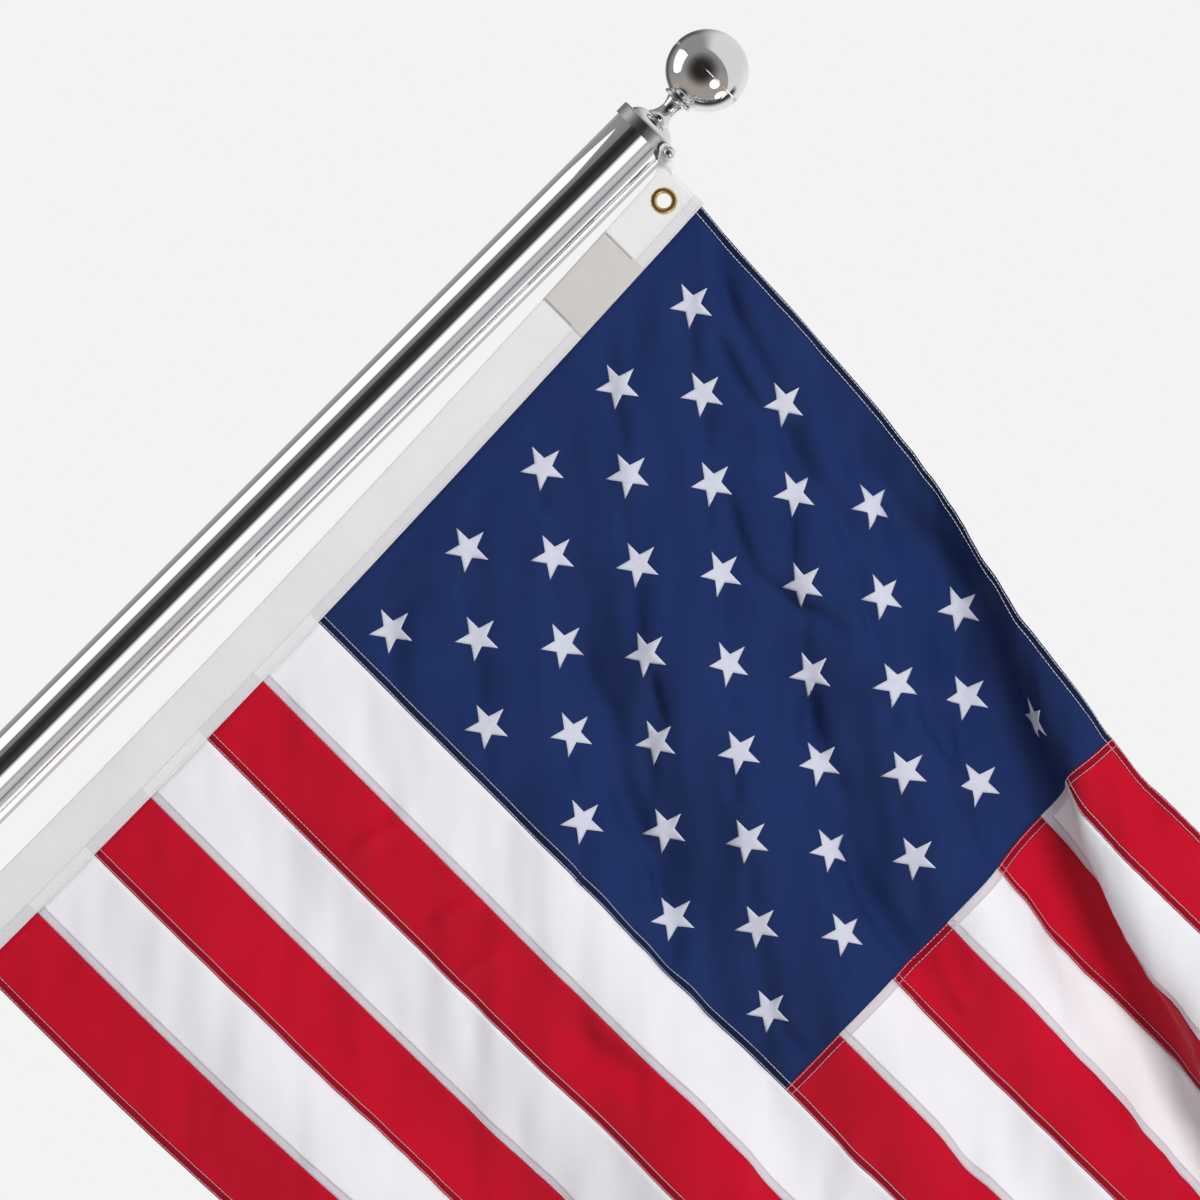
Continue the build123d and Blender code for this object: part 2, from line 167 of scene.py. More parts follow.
# %% The folds
# in mm: distance down the hoist, height, width above, width below, start, full; then drift
FOLDS = np.array(
    [
        (-235, -16, 40, 40, 700, 1150, 0.36),
        (-165, 14, 38, 38, 640, 1050, 0.36),
        (-100, -18, 38, 38, 560, 900, 0.36),
        (-35, 15, 36, 36, 460, 800, 0.36),
        (28, 14, 40, 40, -200, 520, 0.36),
        (118, -50, 52, 70, 0, 540, 0.36),
        (185, 6, 40, 40, 0, 350, 0.36),
        (262, -14, 38, 38, -50, 350, 0.36),
        (338, 9, 40, 40, -50, 350, 0.36),
        (420, -12, 45, 45, 0, 350, 0.36),
        (500, 12, 50, 50, 0, 500, 0.36),
        (640, -26, 60, 60, -50, 500, 0.2),
        (740, 16, 50, 50, -50, 500, 0.2),
    ]
)
HOIST_HOLD = 60 * mm
STRAIGHT_V = 430 * mm
HEM_SAG = 8 * mm
HEM_SAG_DEPTH = 50 * mm
HEM_SAG_START = 70 * mm
# small creases take up more of the cloth's fly low on the canton than near its top
EASE = 4.5 * mm
TAKE_UP = 11 * mm
print("folds:", len(FOLDS))


def eased(share):
    """A smooth rise from 0 to 1."""
    share = np.clip(share, 0, 1)
    return share * share * (3 - 2 * share)


def swing(u, v):
    """How far the cloth stands out towards the viewer from the heading's plane."""
    total = np.zeros(np.broadcast(u, v).shape)
    for distance, height, above, below, start, full, drift in FOLDS:
        from_crest = v - distance * mm - drift * (u - CANTON_FLY)
        half_width = np.where(from_crest < 0, above, below) * mm
        growth = eased((u - start * mm) / ((full - start) * mm))
        total = total + height * mm * growth * np.exp(-((from_crest / half_width) ** 2))
    return total * (1 - np.exp(-u / HOIST_HOLD))


# %% Walk the cloth
ROWS_PER_STRIPE = 16
CANTON_COLUMNS = 122
STRIPE_COLUMNS = 172
row_step = STRIPE / ROWS_PER_STRIPE
grid_v = np.arange(STRIPES * ROWS_PER_STRIPE + 1) * row_step
grid_u = np.concatenate(
    [
        np.linspace(0, CANTON_FLY, CANTON_COLUMNS + 1)[:-1],
        np.linspace(CANTON_FLY, CLOTH_FLY, STRIPE_COLUMNS + 1),
    ]
)


def walked_cloth():
    """The cloth's distance across, out and along for every grid point."""
    u, v = np.meshgrid(grid_u, grid_v, indexing="ij")
    out = swing(u, v)
    drop = np.sqrt(np.maximum(row_step**2 - np.diff(out, axis=1) ** 2, 0))
    along = np.concatenate([np.zeros((len(grid_u), 1)), -np.cumsum(drop, axis=1)], axis=1)
    straight = round(STRAIGHT_V / row_step)
    cloth_top = HEADING_TOP - CLOTH_INSET
    along += cloth_top - straight * row_step - along[:, straight : straight + 1]
    sag = HEM_SAG * (1 - np.exp(-u / HEM_SAG_START)) * np.exp(-v / HEM_SAG_DEPTH)
    along -= sag
    across = np.zeros_like(out)
    across[0] = hoist_edge(CLOTH_INSET + grid_v) + HEADING_WIDTH
    steps = np.diff(grid_u)[:, None]
    rise = np.diff(out, axis=0) ** 2 + np.diff(along, axis=0) ** 2
    across[1:] = across[0] + np.cumsum(np.sqrt(np.maximum(steps**2 - rise, 0)), axis=0)
    lower = np.minimum(v / (CANTON_STRIPES * STRIPE), 1)
    across += (EASE - TAKE_UP * lower) * np.minimum(u / CANTON_FLY, 1) ** 2
    return across, out + HEADING_PLANE, along


cloth_across, cloth_out, cloth_along = walked_cloth()
cloth_points = place(cloth_across, cloth_out, cloth_along)


def outward(points):
    """The direction square to the cloth at each grid point."""
    edge_u = np.gradient(points, grid_u, axis=0)
    edge_v = np.gradient(points, grid_v, axis=1)
    normals = np.cross(edge_v, edge_u)
    return normals / np.linalg.norm(normals, axis=2, keepdims=True)


cloth_normals = outward(cloth_points)
print("cloth grid", cloth_points.shape[:2], "swings", round(float(np.ptp(cloth_out)) * 1000), "mm")


# %% Read the cloth between its grid points
def on_cloth(u, v, lift=0.0):
    """The points on the cloth at u and v, lifted towards the viewer by lift."""
    u, v, lift = np.broadcast_arrays(u, v, lift)
    i = np.clip(np.searchsorted(grid_u, u, side="right") - 1, 0, len(grid_u) - 2)
    j = np.clip((v / row_step).astype(int), 0, len(grid_v) - 2)
    a = ((u - grid_u[i]) / (grid_u[i + 1] - grid_u[i]))[..., None]
    b = (v / row_step - j)[..., None]

    def blend(values):
        near = values[i, j] * (1 - b) + values[i, j + 1] * b
        far = values[i + 1, j] * (1 - b) + values[i + 1, j + 1] * b
        return near * (1 - a) + far * a

    normal = blend(cloth_normals)
    normal /= np.linalg.norm(normal, axis=-1, keepdims=True)
    return blend(cloth_points) + normal * lift[..., None]


corner = on_cloth(np.array([CLOTH_FLY]), np.array([HOIST]))[0]
print("the fly's low corner hangs at", [round(float(x), 3) for x in corner])

# %% [markdown]
# ## Mesh helpers
#
# Cloth, seams and hems are all thin closed sheets with a front, a back and a rim.
# One helper makes such a sheet from a grid of front points and a grid of back
# points, and gives it a UV map in metres along and down the cloth, so that the
# weave runs with the threads wherever the cloth bends.

# %% Helpers for meshes
def add_mesh(name, points, faces, uvs=None, smooth=True):
    """A mesh object at the origin, with an optional UV for each point."""
    mesh = bpy.data.meshes.new(name)
    mesh.from_pydata(np.asarray(points).tolist(), [], faces)
    if uvs is not None:
        layer = mesh.uv_layers.new(name="cloth_uv")
        corners = np.empty(len(mesh.loops), dtype=np.int32)
        mesh.loops.foreach_get("vertex_index", corners)
        layer.data.foreach_set("uv", np.asarray(uvs)[corners].astype(np.float32).ravel())
    mesh.update()
    if smooth:
        mesh.shade_smooth()
    else:
        mesh.shade_flat()
    obj = bpy.data.objects.new(name, mesh)
    bpy.context.scene.collection.objects.link(obj)
    return obj


def closed_sheet(front, back, start=0):
    """Faces of a closed sheet between two grids of points of the same shape."""
    rows, columns = front.shape[:2]
    count = rows * columns
    points = np.concatenate([front.reshape(-1, 3), back.reshape(-1, 3)])

    def at(i, j, side=0):
        return start + side * count + i * columns + j

    faces = []
    for i in range(rows - 1):
        for j in range(columns - 1):
            quad = (at(i, j), at(i, j + 1), at(i + 1, j + 1), at(i + 1, j))
            faces.append(quad[::-1])
            faces.append(tuple(q + count for q in quad))
    rim = [(i, 0) for i in range(rows)]
    rim += [(rows - 1, j) for j in range(1, columns)]
    rim += [(i, columns - 1) for i in range(rows - 2, -1, -1)]
    rim += [(0, j) for j in range(columns - 2, 0, -1)]
    for k, (i, j) in enumerate(rim):
        m, n = rim[(k + 1) % len(rim)]
        faces.append((at(i, j), at(m, n), at(m, n, 1), at(i, j, 1))[::-1])
    return points, faces


# %% Helpers that join sheets and turn their faces outwards
def joined_sheets(name, sheets):
    """One object from several (front, back, uv) grids."""
    points, faces, uvs = [], [], []
    total = 0
    for front, back, uv in sheets:
        sheet_points, sheet_faces = closed_sheet(front, back, total)
        points.append(sheet_points)
        faces += sheet_faces
        uvs.append(np.concatenate([uv.reshape(-1, 2)] * 2))
        total += len(sheet_points)
    return add_mesh(name, np.concatenate(points), faces, np.concatenate(uvs))


def check_outward(obj):
    """Turn the faces outwards."""
    mesh = bmesh.new()
    mesh.from_mesh(obj.data)
    bmesh.ops.recalc_face_normals(mesh, faces=mesh.faces)
    mesh.to_mesh(obj.data)
    mesh.free()


# %% [markdown]
# ## Creases
#
# Between its large folds, thin nylon is never smooth. Fine wrinkles run straight down
# the hanging cloth, single creases cross it, a short one hangs from each star, where the
# dense embroidery pulls the weave together, and the seams draw tiny puckers. All of them
# are real displacement along the cloth's normal, so that light finds them from every side.

# %% Where the creases are
CLOTH = 0.4 * mm
CREASE_PRESS = 2.5
STAR_COLUMN = 49.4 * mm
STAR_ROW = 80.8 * mm
STAR_FIRST_U = 43 * mm
STAR_FIRST_V = 54.5 * mm
STAR_RADIUS = 17.2 * mm
# in mm: width, length and height of each layer of wrinkles, and its seed
WRINKLES = ((15, 50, 2.2, 3.7), (27, 95, 5.4, 11.2), (60, 110, 7.0, 23.9))
# in mm: start (along the fly, down the hoist) and end of each crease, depth, half width
CREASES = (
    (35, 20, 125, 55, -3.0, 7), (145, 65, 260, 85, -3.5, 12), (75, 60, 135, 75, -2.5, 6),
    (195, 35, 335, 50, -4.0, 15), (200, 160, 285, 140, -2.5, 8), (290, 185, 370, 225, -3, 8),
    (385, 240, 485, 275, -4, 9), (150, 285, 210, 315, -2.5, 9), (240, 335, 295, 355, -3.5, 9),
    (295, 355, 330, 375, -2.5, 5), (200, 260, 235, 285, -2.5, 5), (160, 135, 200, 155, -2.5, 6),
    (20, 120, 75, 165, -2, 6), (250, 90, 315, 125, -2.5, 6), (360, 130, 410, 140, -2.5, 6),
    (445, 375, 480, 385, -2, 6), (12, 205, 14, 290, 1.6, 9), (25, 315, 25, 370, 1.6, 9),
    (145, 470, 135, 515, 1.8, 5), (225, 475, 215, 505, 1.8, 5), (265, 490, 255, 520, 1.8, 5),
    (335, 490, 410, 485, -3, 14), (500, 255, 545, 270, 1.8, 7), (600, 330, 690, 390, -2.5, 12),
    (560, 420, 640, 500, 2.2, 14), (740, 520, 820, 610, -2.5, 13), (420, 560, 520, 640, 2, 16),
)


def star_places():
    """The centres of the stars, in staggered columns of five and four."""
    places = []
    for column in range(9):
        odd = column % 2
        for row in range(4 if odd else 5):
            u = STAR_FIRST_U + column * STAR_COLUMN
            v = STAR_FIRST_V + (row + odd / 2) * STAR_ROW
            places.append((u, v))
    return places


print("places for", len(star_places()), "stars and", len(CREASES), "creases")


# %% The shape of one crease, and of the wrinkles
def crease(u, v, start, end, depth, half_width):
    """A soft groove or ridge that fades out at both ends."""
    (u0, v0), (u1, v1) = start, end
    length = math.hypot(u1 - u0, v1 - v0)
    run = ((u - u0) * (u1 - u0) + (v - v0) * (v1 - v0)) / length
    off = ((u - u0) * (v1 - v0) - (v - v0) * (u1 - u0)) / length
    bend = 0.25 * half_width * np.sin(run / (0.16 * length + 6 * mm))
    fade = np.exp(-(((run - length / 2) / (0.55 * length)) ** 4))
    return depth * fade * np.exp(-(((off + bend) / half_width) ** 2))


def wrinkles(u, v):
    """Irregular fine wrinkles that run straight down."""
    down, side = (u + v) / math.sqrt(2), (u - v) / math.sqrt(2)
    total = np.zeros_like(u)
    for width, length, height, seed in WRINKLES:
        flat = [
            noise.noise((a, b, seed))
            for a, b in zip((side / (width * mm)).ravel(), (down / (length * mm)).ravel())
        ]
        total += height * mm * np.array(flat).reshape(u.shape)
    return total


# %% Press in the creases
RIPPLE = 3.1 * mm
RIPPLE_HEIGHT = 0.18 * mm
RIPPLE_REACH = 7 * mm
STRIPE_CALM = 0.62
STAR_CREASE = 5.5 * mm
HEADING_CALM = 14 * mm


def pucker(u, v):
    """All small shapes of the cloth, away from the heading that holds it flat."""
    to_seam = np.abs((v / STRIPE + 0.5) % 1 - 0.5) * STRIPE
    in_canton = (u < CANTON_FLY) & (v < CANTON_STRIPES * STRIPE)
    canton_seam = np.minimum(v, np.abs(CANTON_STRIPES * STRIPE - v))
    to_seam = np.where(in_canton, canton_seam, to_seam)
    ripple = np.sin(u / RIPPLE + 3 * np.sin(u / (23 * mm)) + v / (9 * mm))
    total = RIPPLE_HEIGHT * ripple * np.exp(-to_seam / RIPPLE_REACH)
    calm = np.where(in_canton, 1.0, STRIPE_CALM)
    total = total + calm * wrinkles(u, v)
    creases = np.zeros_like(u)
    for u0, v0, u1, v1, depth, half_width in CREASES:
        start, end = (u0 * mm, v0 * mm), (u1 * mm, v1 * mm)
        creases = creases + crease(u, v, start, end, CREASE_PRESS * depth * mm, half_width * mm)
    for index, (star_u, star_v) in enumerate(star_places()):
        reach = (30 + 12 * math.sin(index * 2.4)) * mm / math.sqrt(2)
        side = 3 * mm * math.sin(index * 1.7)
        near = STAR_RADIUS * 0.55
        start = (star_u + near + side, star_v + near - side)
        end = (start[0] + reach, start[1] + reach + side)
        depth = (-3.4 - 1.3 * math.sin(index * 4.1)) * mm
        creases = creases + crease(u, v, start, end, depth, STAR_CREASE)
    for star_u, star_v in star_places():
        from_star = np.hypot(u - star_u, v - star_v)
        creases = creases * (1 - 0.6 * np.exp(-((from_star / (0.85 * STAR_RADIUS)) ** 4)))
    return (total + creases) * (1 - np.exp(-u / HEADING_CALM))


grid = np.meshgrid(grid_u, grid_v, indexing="ij")
cloth_points = cloth_points + cloth_normals * pucker(*grid)[..., None]
cloth_normals = outward(cloth_points)
press = np.linalg.norm(cloth_points - place(cloth_across, cloth_out, cloth_along), axis=2)
print("creases stand up to", round(float(press.max() / mm), 1), "mm out of the folds")

# %% [markdown]
# ## Sew the panels
#
# The canton and the thirteen stripes are cut from woven nylon. Each panel is its own
# closed sheet on the shared surface, with a front, a back and a rim, so that two
# panels meet exactly along their seam and each can have its own colour.


# %% Cut and place the panels
def panel(name, first_u, last_u, first_v, last_v):
    """One closed cloth panel between grid lines."""
    block = (slice(first_u, last_u + 1), slice(first_v, last_v + 1))
    middle, normal = cloth_points[block], cloth_normals[block]
    u, v = np.meshgrid(grid_u[block[0]], grid_v[block[1]], indexing="ij")
    front, back = middle + normal * CLOTH / 2, middle - normal * CLOTH / 2
    piece = joined_sheets(name, [(front, back, np.stack([u, v], axis=-1))])
    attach(piece, "root")
    return piece


last_u = len(grid_u) - 1
canton_rows = CANTON_STRIPES * ROWS_PER_STRIPE
panels = {"canton": panel("canton_cloth", 0, CANTON_COLUMNS, 0, canton_rows)}
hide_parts("canton")
for number in range(STRIPES):
    start = CANTON_COLUMNS if number < CANTON_STRIPES else 0
    top = number * ROWS_PER_STRIPE
    name = f"stripe_{number + 1:02d}"
    panels[name] = panel(name + "_cloth", start, last_u, top, top + ROWS_PER_STRIPE)
    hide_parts(name)
faces = sum(len(piece.data.polygons) for piece in panels.values())
print("panels:", len(panels), "faces:", faces)

# %% [markdown]
# ## Seams and hems
#
# A strong flag has felled seams: the edges of two panels are folded into each other
# and sewn flat with two rows of stitches. Seen from the front this is a band 7 mm
# wide along the lower edge of each stripe, slightly raised and darker where several
# layers lie on top of each other. The band is a closed strip that wraps both sides.

# %% Seam bands
SEAM = 7 * mm
SEAM_RISE = 0.42 * mm
SEAM_EDGE = 0.24 * mm
profile = np.array([SEAM_EDGE, SEAM_RISE, SEAM_RISE, SEAM_RISE, SEAM_EDGE])
across_band = np.array([0.0, 0.1, 0.5, 0.9, 1.0])


def band_along_fly(start, end, v):
    """A band that runs along the fly, its width ending at v."""
    u = np.linspace(start, end, max(4, round((end - start) / (4 * mm))))[:, None]
    v = v - SEAM + across_band[None, :] * SEAM
    u, v, lift = np.broadcast_arrays(u, np.clip(v, 0, HOIST), profile[None, :])
    return on_cloth(u, v, lift), on_cloth(u, v, -lift), np.stack([u, v], axis=-1)


def band_down_hoist(start, end, u):
    """A band that runs down the hoist, its width starting at u."""
    v = np.linspace(start, end, max(4, round((end - start) / (4 * mm))))[None, :]
    u = u + across_band[:, None] * SEAM
    u, v, lift = np.broadcast_arrays(np.clip(u, 0, CLOTH_FLY), v, profile[:, None])
    return on_cloth(u, v, lift), on_cloth(u, v, -lift), np.stack([u, v], axis=-1)


def stripe_is_red(number):
    """The first stripe and every second one after it are red."""
    return number % 2 == 0


canton_low = CANTON_STRIPES * STRIPE
bands = {"red": [], "white": [], "blue": []}
bands["blue"].append(band_along_fly(0, CANTON_FLY, canton_low))
bands["blue"].append(band_along_fly(0, CANTON_FLY, SEAM))
bands["red"].append(band_along_fly(CANTON_FLY, CLOTH_FLY, SEAM))
for number in range(STRIPES):
    colour = "red" if stripe_is_red(number) else "white"
    start = CANTON_FLY if number < CANTON_STRIPES else 0
    bands[colour].append(band_along_fly(start, CLOTH_FLY, (number + 1) * STRIPE))
    top, bottom = number * STRIPE, (number + 1) * STRIPE
    bands[colour].append(band_down_hoist(top, bottom, CLOTH_FLY - SEAM))
    if number < CANTON_STRIPES:
        bands[colour].append(band_down_hoist(top, bottom, CANTON_FLY))
seams = {colour: joined_sheets(f"seams_{colour}", sheets) for colour, sheets in bands.items()}
for seam in seams.values():
    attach(seam, "root")
print("seam bands:", {colour: len(sheets) for colour, sheets in bands.items()})

# %% [markdown]
# ## Stitches
#
# Two rows of lockstitch hold every band. One stitch is modelled once: a three-sided
# bar, cut across its middle, with both ends drawn thin and pushed down into the cloth.
# Thousands are needed, so it has very few faces, and all the copies of one thread
# colour are laid along their rows and joined in one mesh.

# %% One stitch
STITCH_PITCH = 3.1 * mm
STITCH_LENGTH = 2.9 * mm
STITCH_WIDTH = 0.75 * mm
STITCH_RISE = 0.22 * mm
STITCH_TAPER = 0.6
SEAM_STITCHES = (1.0 * mm, 6.0 * mm)

bpy.ops.mesh.primitive_cylinder_add(
    vertices=3, radius=STITCH_WIDTH / 2, depth=STITCH_LENGTH, rotation=(0, math.pi / 2, 0)
)
stitch = bpy.context.active_object
bpy.ops.object.transform_apply(rotation=True)
bpy.ops.object.mode_set(mode="EDIT")
bpy.ops.mesh.select_all(action="SELECT")
bpy.ops.mesh.bisect(plane_co=(0, 0, 0), plane_no=(1, 0, 0))
bpy.ops.mesh.select_all(action="DESELECT")
bpy.ops.object.mode_set(mode="OBJECT")
for vertex in stitch.data.vertices:
    vertex.select = abs(vertex.co.x) < 0.1 * STITCH_LENGTH
bpy.ops.object.mode_set(mode="EDIT")
bpy.ops.transform.translate(value=(0, 0, STITCH_RISE))
bpy.ops.mesh.select_all(action="INVERT")
bpy.ops.transform.resize(value=(1, STITCH_TAPER, STITCH_TAPER), center_override=(0, 0, 0))
bpy.ops.object.mode_set(mode="OBJECT")
stitch_points = np.array([vertex.co[:] for vertex in stitch.data.vertices])
stitch_faces = [tuple(face.vertices) for face in stitch.data.polygons]
bpy.data.objects.remove(stitch)
bpy.ops.object.select_all(action="DESELECT")
print("one stitch has", len(stitch_points), "points and", len(stitch_faces), "faces")


# %% Lay the stitches
def laid_stitches(centres, direction, normal):
    """Points of copies of the stitch, each turned to its own place."""
    direction = direction / np.linalg.norm(direction, axis=1, keepdims=True)
    normal = normal / np.linalg.norm(normal, axis=1, keepdims=True)
    sideways = np.cross(normal, direction)
    x, y, z = stitch_points.T[:, None, :, None]
    along, across, up = direction[:, None], sideways[:, None], normal[:, None]
    return (centres[:, None] + x * along + y * across + z * up).reshape(-1, 3)


def stitched(name, blocks):
    """One object from blocks of laid stitches."""
    points = np.concatenate(blocks)
    size = len(stitch_points)
    faces = [
        tuple(first + corner for corner in face)
        for first in range(0, len(points), size)
        for face in stitch_faces
    ]
    piece = add_mesh(name, points, faces)
    check_outward(piece)
    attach(piece, "root")
    return piece


def sew(name, rows):
    """Stitches on both sides of the cloth along rows from one (u, v) place to another."""
    blocks = []
    for (u0, v0), (u1, v1) in rows:
        length = math.hypot(u1 - u0, v1 - v0)
        count = max(2, int(length / STITCH_PITCH))
        share = (np.arange(count) + 0.5) / count
        u, v = u0 + (u1 - u0) * share, v0 + (v1 - v0) * share
        step_u, step_v = (u1 - u0) / length * mm, (v1 - v0) / length * mm
        for side in (1, -1):
            lift = side * (SEAM_RISE + 0.1 * mm)
            centre = on_cloth(u, v, lift)
            ahead, before = (
                on_cloth(np.clip(u + du, 0, CLOTH_FLY), np.clip(v + dv, 0, HOIST), lift)
                for du, dv in ((step_u, step_v), (-step_u, -step_v))
            )
            normal = on_cloth(u, v, lift + side * mm) - centre
            blocks.append(laid_stitches(centre, ahead - before, normal))
    return stitched(name, blocks)


# %% Rows of stitches
rows = {"red": [], "white": [], "blue": []}
for offset in SEAM_STITCHES:
    low = canton_low - SEAM + offset
    rows["blue"].append(((0, offset), (CANTON_FLY, offset)))
    rows["blue"].append(((0, low), (CANTON_FLY, low)))
    rows["red"].append(((CANTON_FLY, offset), (CLOTH_FLY, offset)))
    for number in range(STRIPES):
        colour = "red" if stripe_is_red(number) else "white"
        start = CANTON_FLY if number < CANTON_STRIPES else 0
        top, bottom = number * STRIPE, (number + 1) * STRIPE
        line = bottom - SEAM + offset
        rows[colour].append(((start, line), (CLOTH_FLY, line)))
        fly_line = CLOTH_FLY - SEAM + offset
        rows[colour].append(((fly_line, top), (fly_line, bottom)))
        if number < CANTON_STRIPES:
            canton_line = CANTON_FLY + offset
            rows[colour].append(((canton_line, top), (canton_line, bottom)))
stitches = {colour: sew(f"stitches_{colour}", lines) for colour, lines in rows.items()}
print("stitch faces:", {colour: len(s.data.polygons) for colour, s in stitches.items()})

# %% [markdown]
# ## Embroidered stars
#
# The stars are satin stitch, a low cushion of bright thread with soft edges. One star
# is modelled flat: a circle of ten points filled as a fan, every second point drawn in
# to the notches, then subdivided and extruded. Its top is crowned by the distance to
# its outline. Each copy is then laid point by point on the cloth, so that it bends with
# the folds, and a second copy lies on the back, where the embroidery shows as well.

# %% One star
STAR_NOTCH = 0.40
STAR_EDGE = 0.35 * mm
STAR_CROWN = 0.45 * mm
STAR_SHOULDER = 1.6 * mm
bpy.ops.mesh.primitive_circle_add(vertices=10, radius=STAR_RADIUS, fill_type="TRIFAN")
star = bpy.context.active_object
bpy.ops.object.mode_set(mode="EDIT")
bpy.ops.mesh.select_all(action="DESELECT")
bpy.ops.object.mode_set(mode="OBJECT")
rim = [vertex for vertex in star.data.vertices if vertex.co.length > STAR_RADIUS / 2]
rim.sort(key=lambda vertex: math.atan2(vertex.co.y, vertex.co.x))
first_tip = rim[0].co.to_2d().normalized()
outline = np.array([vertex.co[:2] for vertex in rim])
outline[1::2] *= STAR_NOTCH
for vertex in rim[1::2]:
    vertex.select = True
bpy.ops.object.mode_set(mode="EDIT")
bpy.ops.transform.resize(value=(STAR_NOTCH, STAR_NOTCH, 1), center_override=(0, 0, 0))
bpy.ops.mesh.select_all(action="SELECT")
bpy.ops.mesh.subdivide(number_cuts=3)
bpy.ops.mesh.extrude_region_move(TRANSFORM_OT_translate={"value": (0, 0, STAR_EDGE)})
bpy.ops.mesh.select_all(action="SELECT")
bpy.ops.mesh.normals_make_consistent(inside=False)
bpy.ops.object.mode_set(mode="OBJECT")
star_points = np.array([vertex.co[:] for vertex in star.data.vertices])
star_faces = [tuple(face.vertices) for face in star.data.polygons]
bpy.data.objects.remove(star)
bpy.ops.object.select_all(action="DESELECT")


def to_outline(points):
    """Distance of flat points to the star's outline."""
    nearest = np.full(len(points), np.inf)
    for a, b in zip(outline, np.roll(outline, -1, axis=0)):
        share = np.clip((points - a) @ (b - a) / ((b - a) @ (b - a)), 0, 1)
        away = points - a - share[:, None] * (b - a)
        nearest = np.minimum(nearest, np.linalg.norm(away, axis=1))
    return nearest


raised = star_points[:, 2] > STAR_EDGE / 2
crown = 1 - np.exp(-to_outline(star_points[:, :2]) / STAR_SHOULDER)
star_points[:, 2] += np.where(raised, STAR_CROWN * crown, 0)
print("one star has", len(star_faces), "faces")

# %% Lay the stars on the canton
sideways = np.array([first_tip.y, -first_tip.x])
star_u = star_points[:, :2] @ sideways
star_v = -star_points[:, :2] @ np.array(first_tip)
all_points, all_faces, all_uvs = [], [], []
for centre_u, centre_v in star_places():
    for side in (1, -1):
        first = len(all_points) * len(star_points)
        lift = side * (CLOTH / 4 + star_points[:, 2])
        all_points.append(on_cloth(centre_u + star_u, centre_v + star_v, lift))
        all_uvs.append(np.stack([star_u, star_v], axis=-1))
        all_faces += [tuple(first + corner for corner in face[::side]) for face in star_faces]
stars = add_mesh("stars", np.concatenate(all_points), all_faces, np.concatenate(all_uvs))
check_outward(stars)
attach(stars, "root")
print("stars:", len(star_places()), "faces:", len(stars.data.polygons))

# %% [markdown]
# ## The heading
#
# The hoist side is bound in a folded strip of white canvas, 40 mm wide. It is
# thicker than the nylon, its fold along the pole side is round, and the flag's
# edge shows through it as a slightly darker strip. The strip is a closed grid that follows
# the same leaning line as the cloth's edge, and the grommet holes are cut by booleans.

# %% Heading
HEADING_THICKNESS = 1.6 * mm
HEADING_ROWS = 200
# share of the width, from the pole to the flag, and thickness there
HEADING_PROFILE = (
    (0, 0.25), (0.008, 0.62), (0.03, 0.9), (0.07, 1), (0.2, 1), (0.35, 1), (0.5, 1), (0.65, 1),
    (0.735, 1), (0.745, 1.12), (0.76, 1.2), (0.85, 1.2), (0.93, 1.16), (0.97, 1.1),
    (0.992, 0.95), (1.0, 0.55),
)
heading_share, heading_puff = np.array(HEADING_PROFILE).T
drops = np.linspace(0, HEADING_LENGTH, HEADING_ROWS)


def on_heading(drop, share, lift=0.0):
    """A point on the heading's middle plane, lifted towards the viewer."""
    drop, share, lift = np.broadcast_arrays(drop, share, lift)
    across = hoist_edge(drop) + share * HEADING_WIDTH
    wave = 0.5 * mm * np.sin(drop / (29 * mm) + 3 * share) * np.sin(drop / (67 * mm))
    from_crease = (drop - 31 * mm + 14 * mm * share) / (6 * mm)
    wave = wave - 1.1 * mm * share * np.exp(-(from_crease**2))
    return place(across, HEADING_PLANE + lift + wave, HEADING_TOP - drop)


def heading_piece(name, drop, share, front_lift, back_lift):
    """A closed sheet on the heading, from a column of drops and a row of shares."""
    drop, share = drop[:, None], share[None, :]
    front, back = on_heading(drop, share, front_lift), on_heading(drop, share, back_lift)
    uv = np.stack(np.broadcast_arrays(share * HEADING_WIDTH, drop), axis=-1)
    return joined_sheets(name, [(front, back, uv)])


half = HEADING_THICKNESS / 2 * heading_puff[None, :]
heading = heading_piece("heading_canvas", drops, heading_share, half, -half)
check_outward(heading)

# %% Cut the grommet holes
GROMMET_FROM_END = 19 * mm
GROMMET_FROM_EDGE = 16.9 * mm
BARREL_RADIUS = 6.85 * mm
for drop in (GROMMET_FROM_END, HEADING_LENGTH - GROMMET_FROM_END):
    centre = on_heading(drop, GROMMET_FROM_EDGE / HEADING_WIDTH)
    bpy.ops.mesh.primitive_cylinder_add(
        vertices=48,
        radius=BARREL_RADIUS,
        depth=20 * mm,
        location=centre,
        rotation=(math.pi / 2, 0, 0),
    )
    cutter = bpy.context.active_object
    cut = heading.modifiers.new("grommet_hole", "BOOLEAN")
    cut.object = cutter
    cut.operation = "DIFFERENCE"
    cut.solver = "EXACT"
    bpy.ops.object.select_all(action="DESELECT")
    bpy.context.view_layer.objects.active = heading
    bpy.ops.object.modifier_apply(modifier=cut.name)
    bpy.data.objects.remove(cutter)
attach(heading, "root")
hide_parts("heading")
print("heading faces:", len(heading.data.polygons))

# %% [markdown]
# ## The label
#
# A woven grey tape label is sewn over the heading's front face and left bare. It
# is a slim slab with turned edges, held by a row of fine stitches at each end.

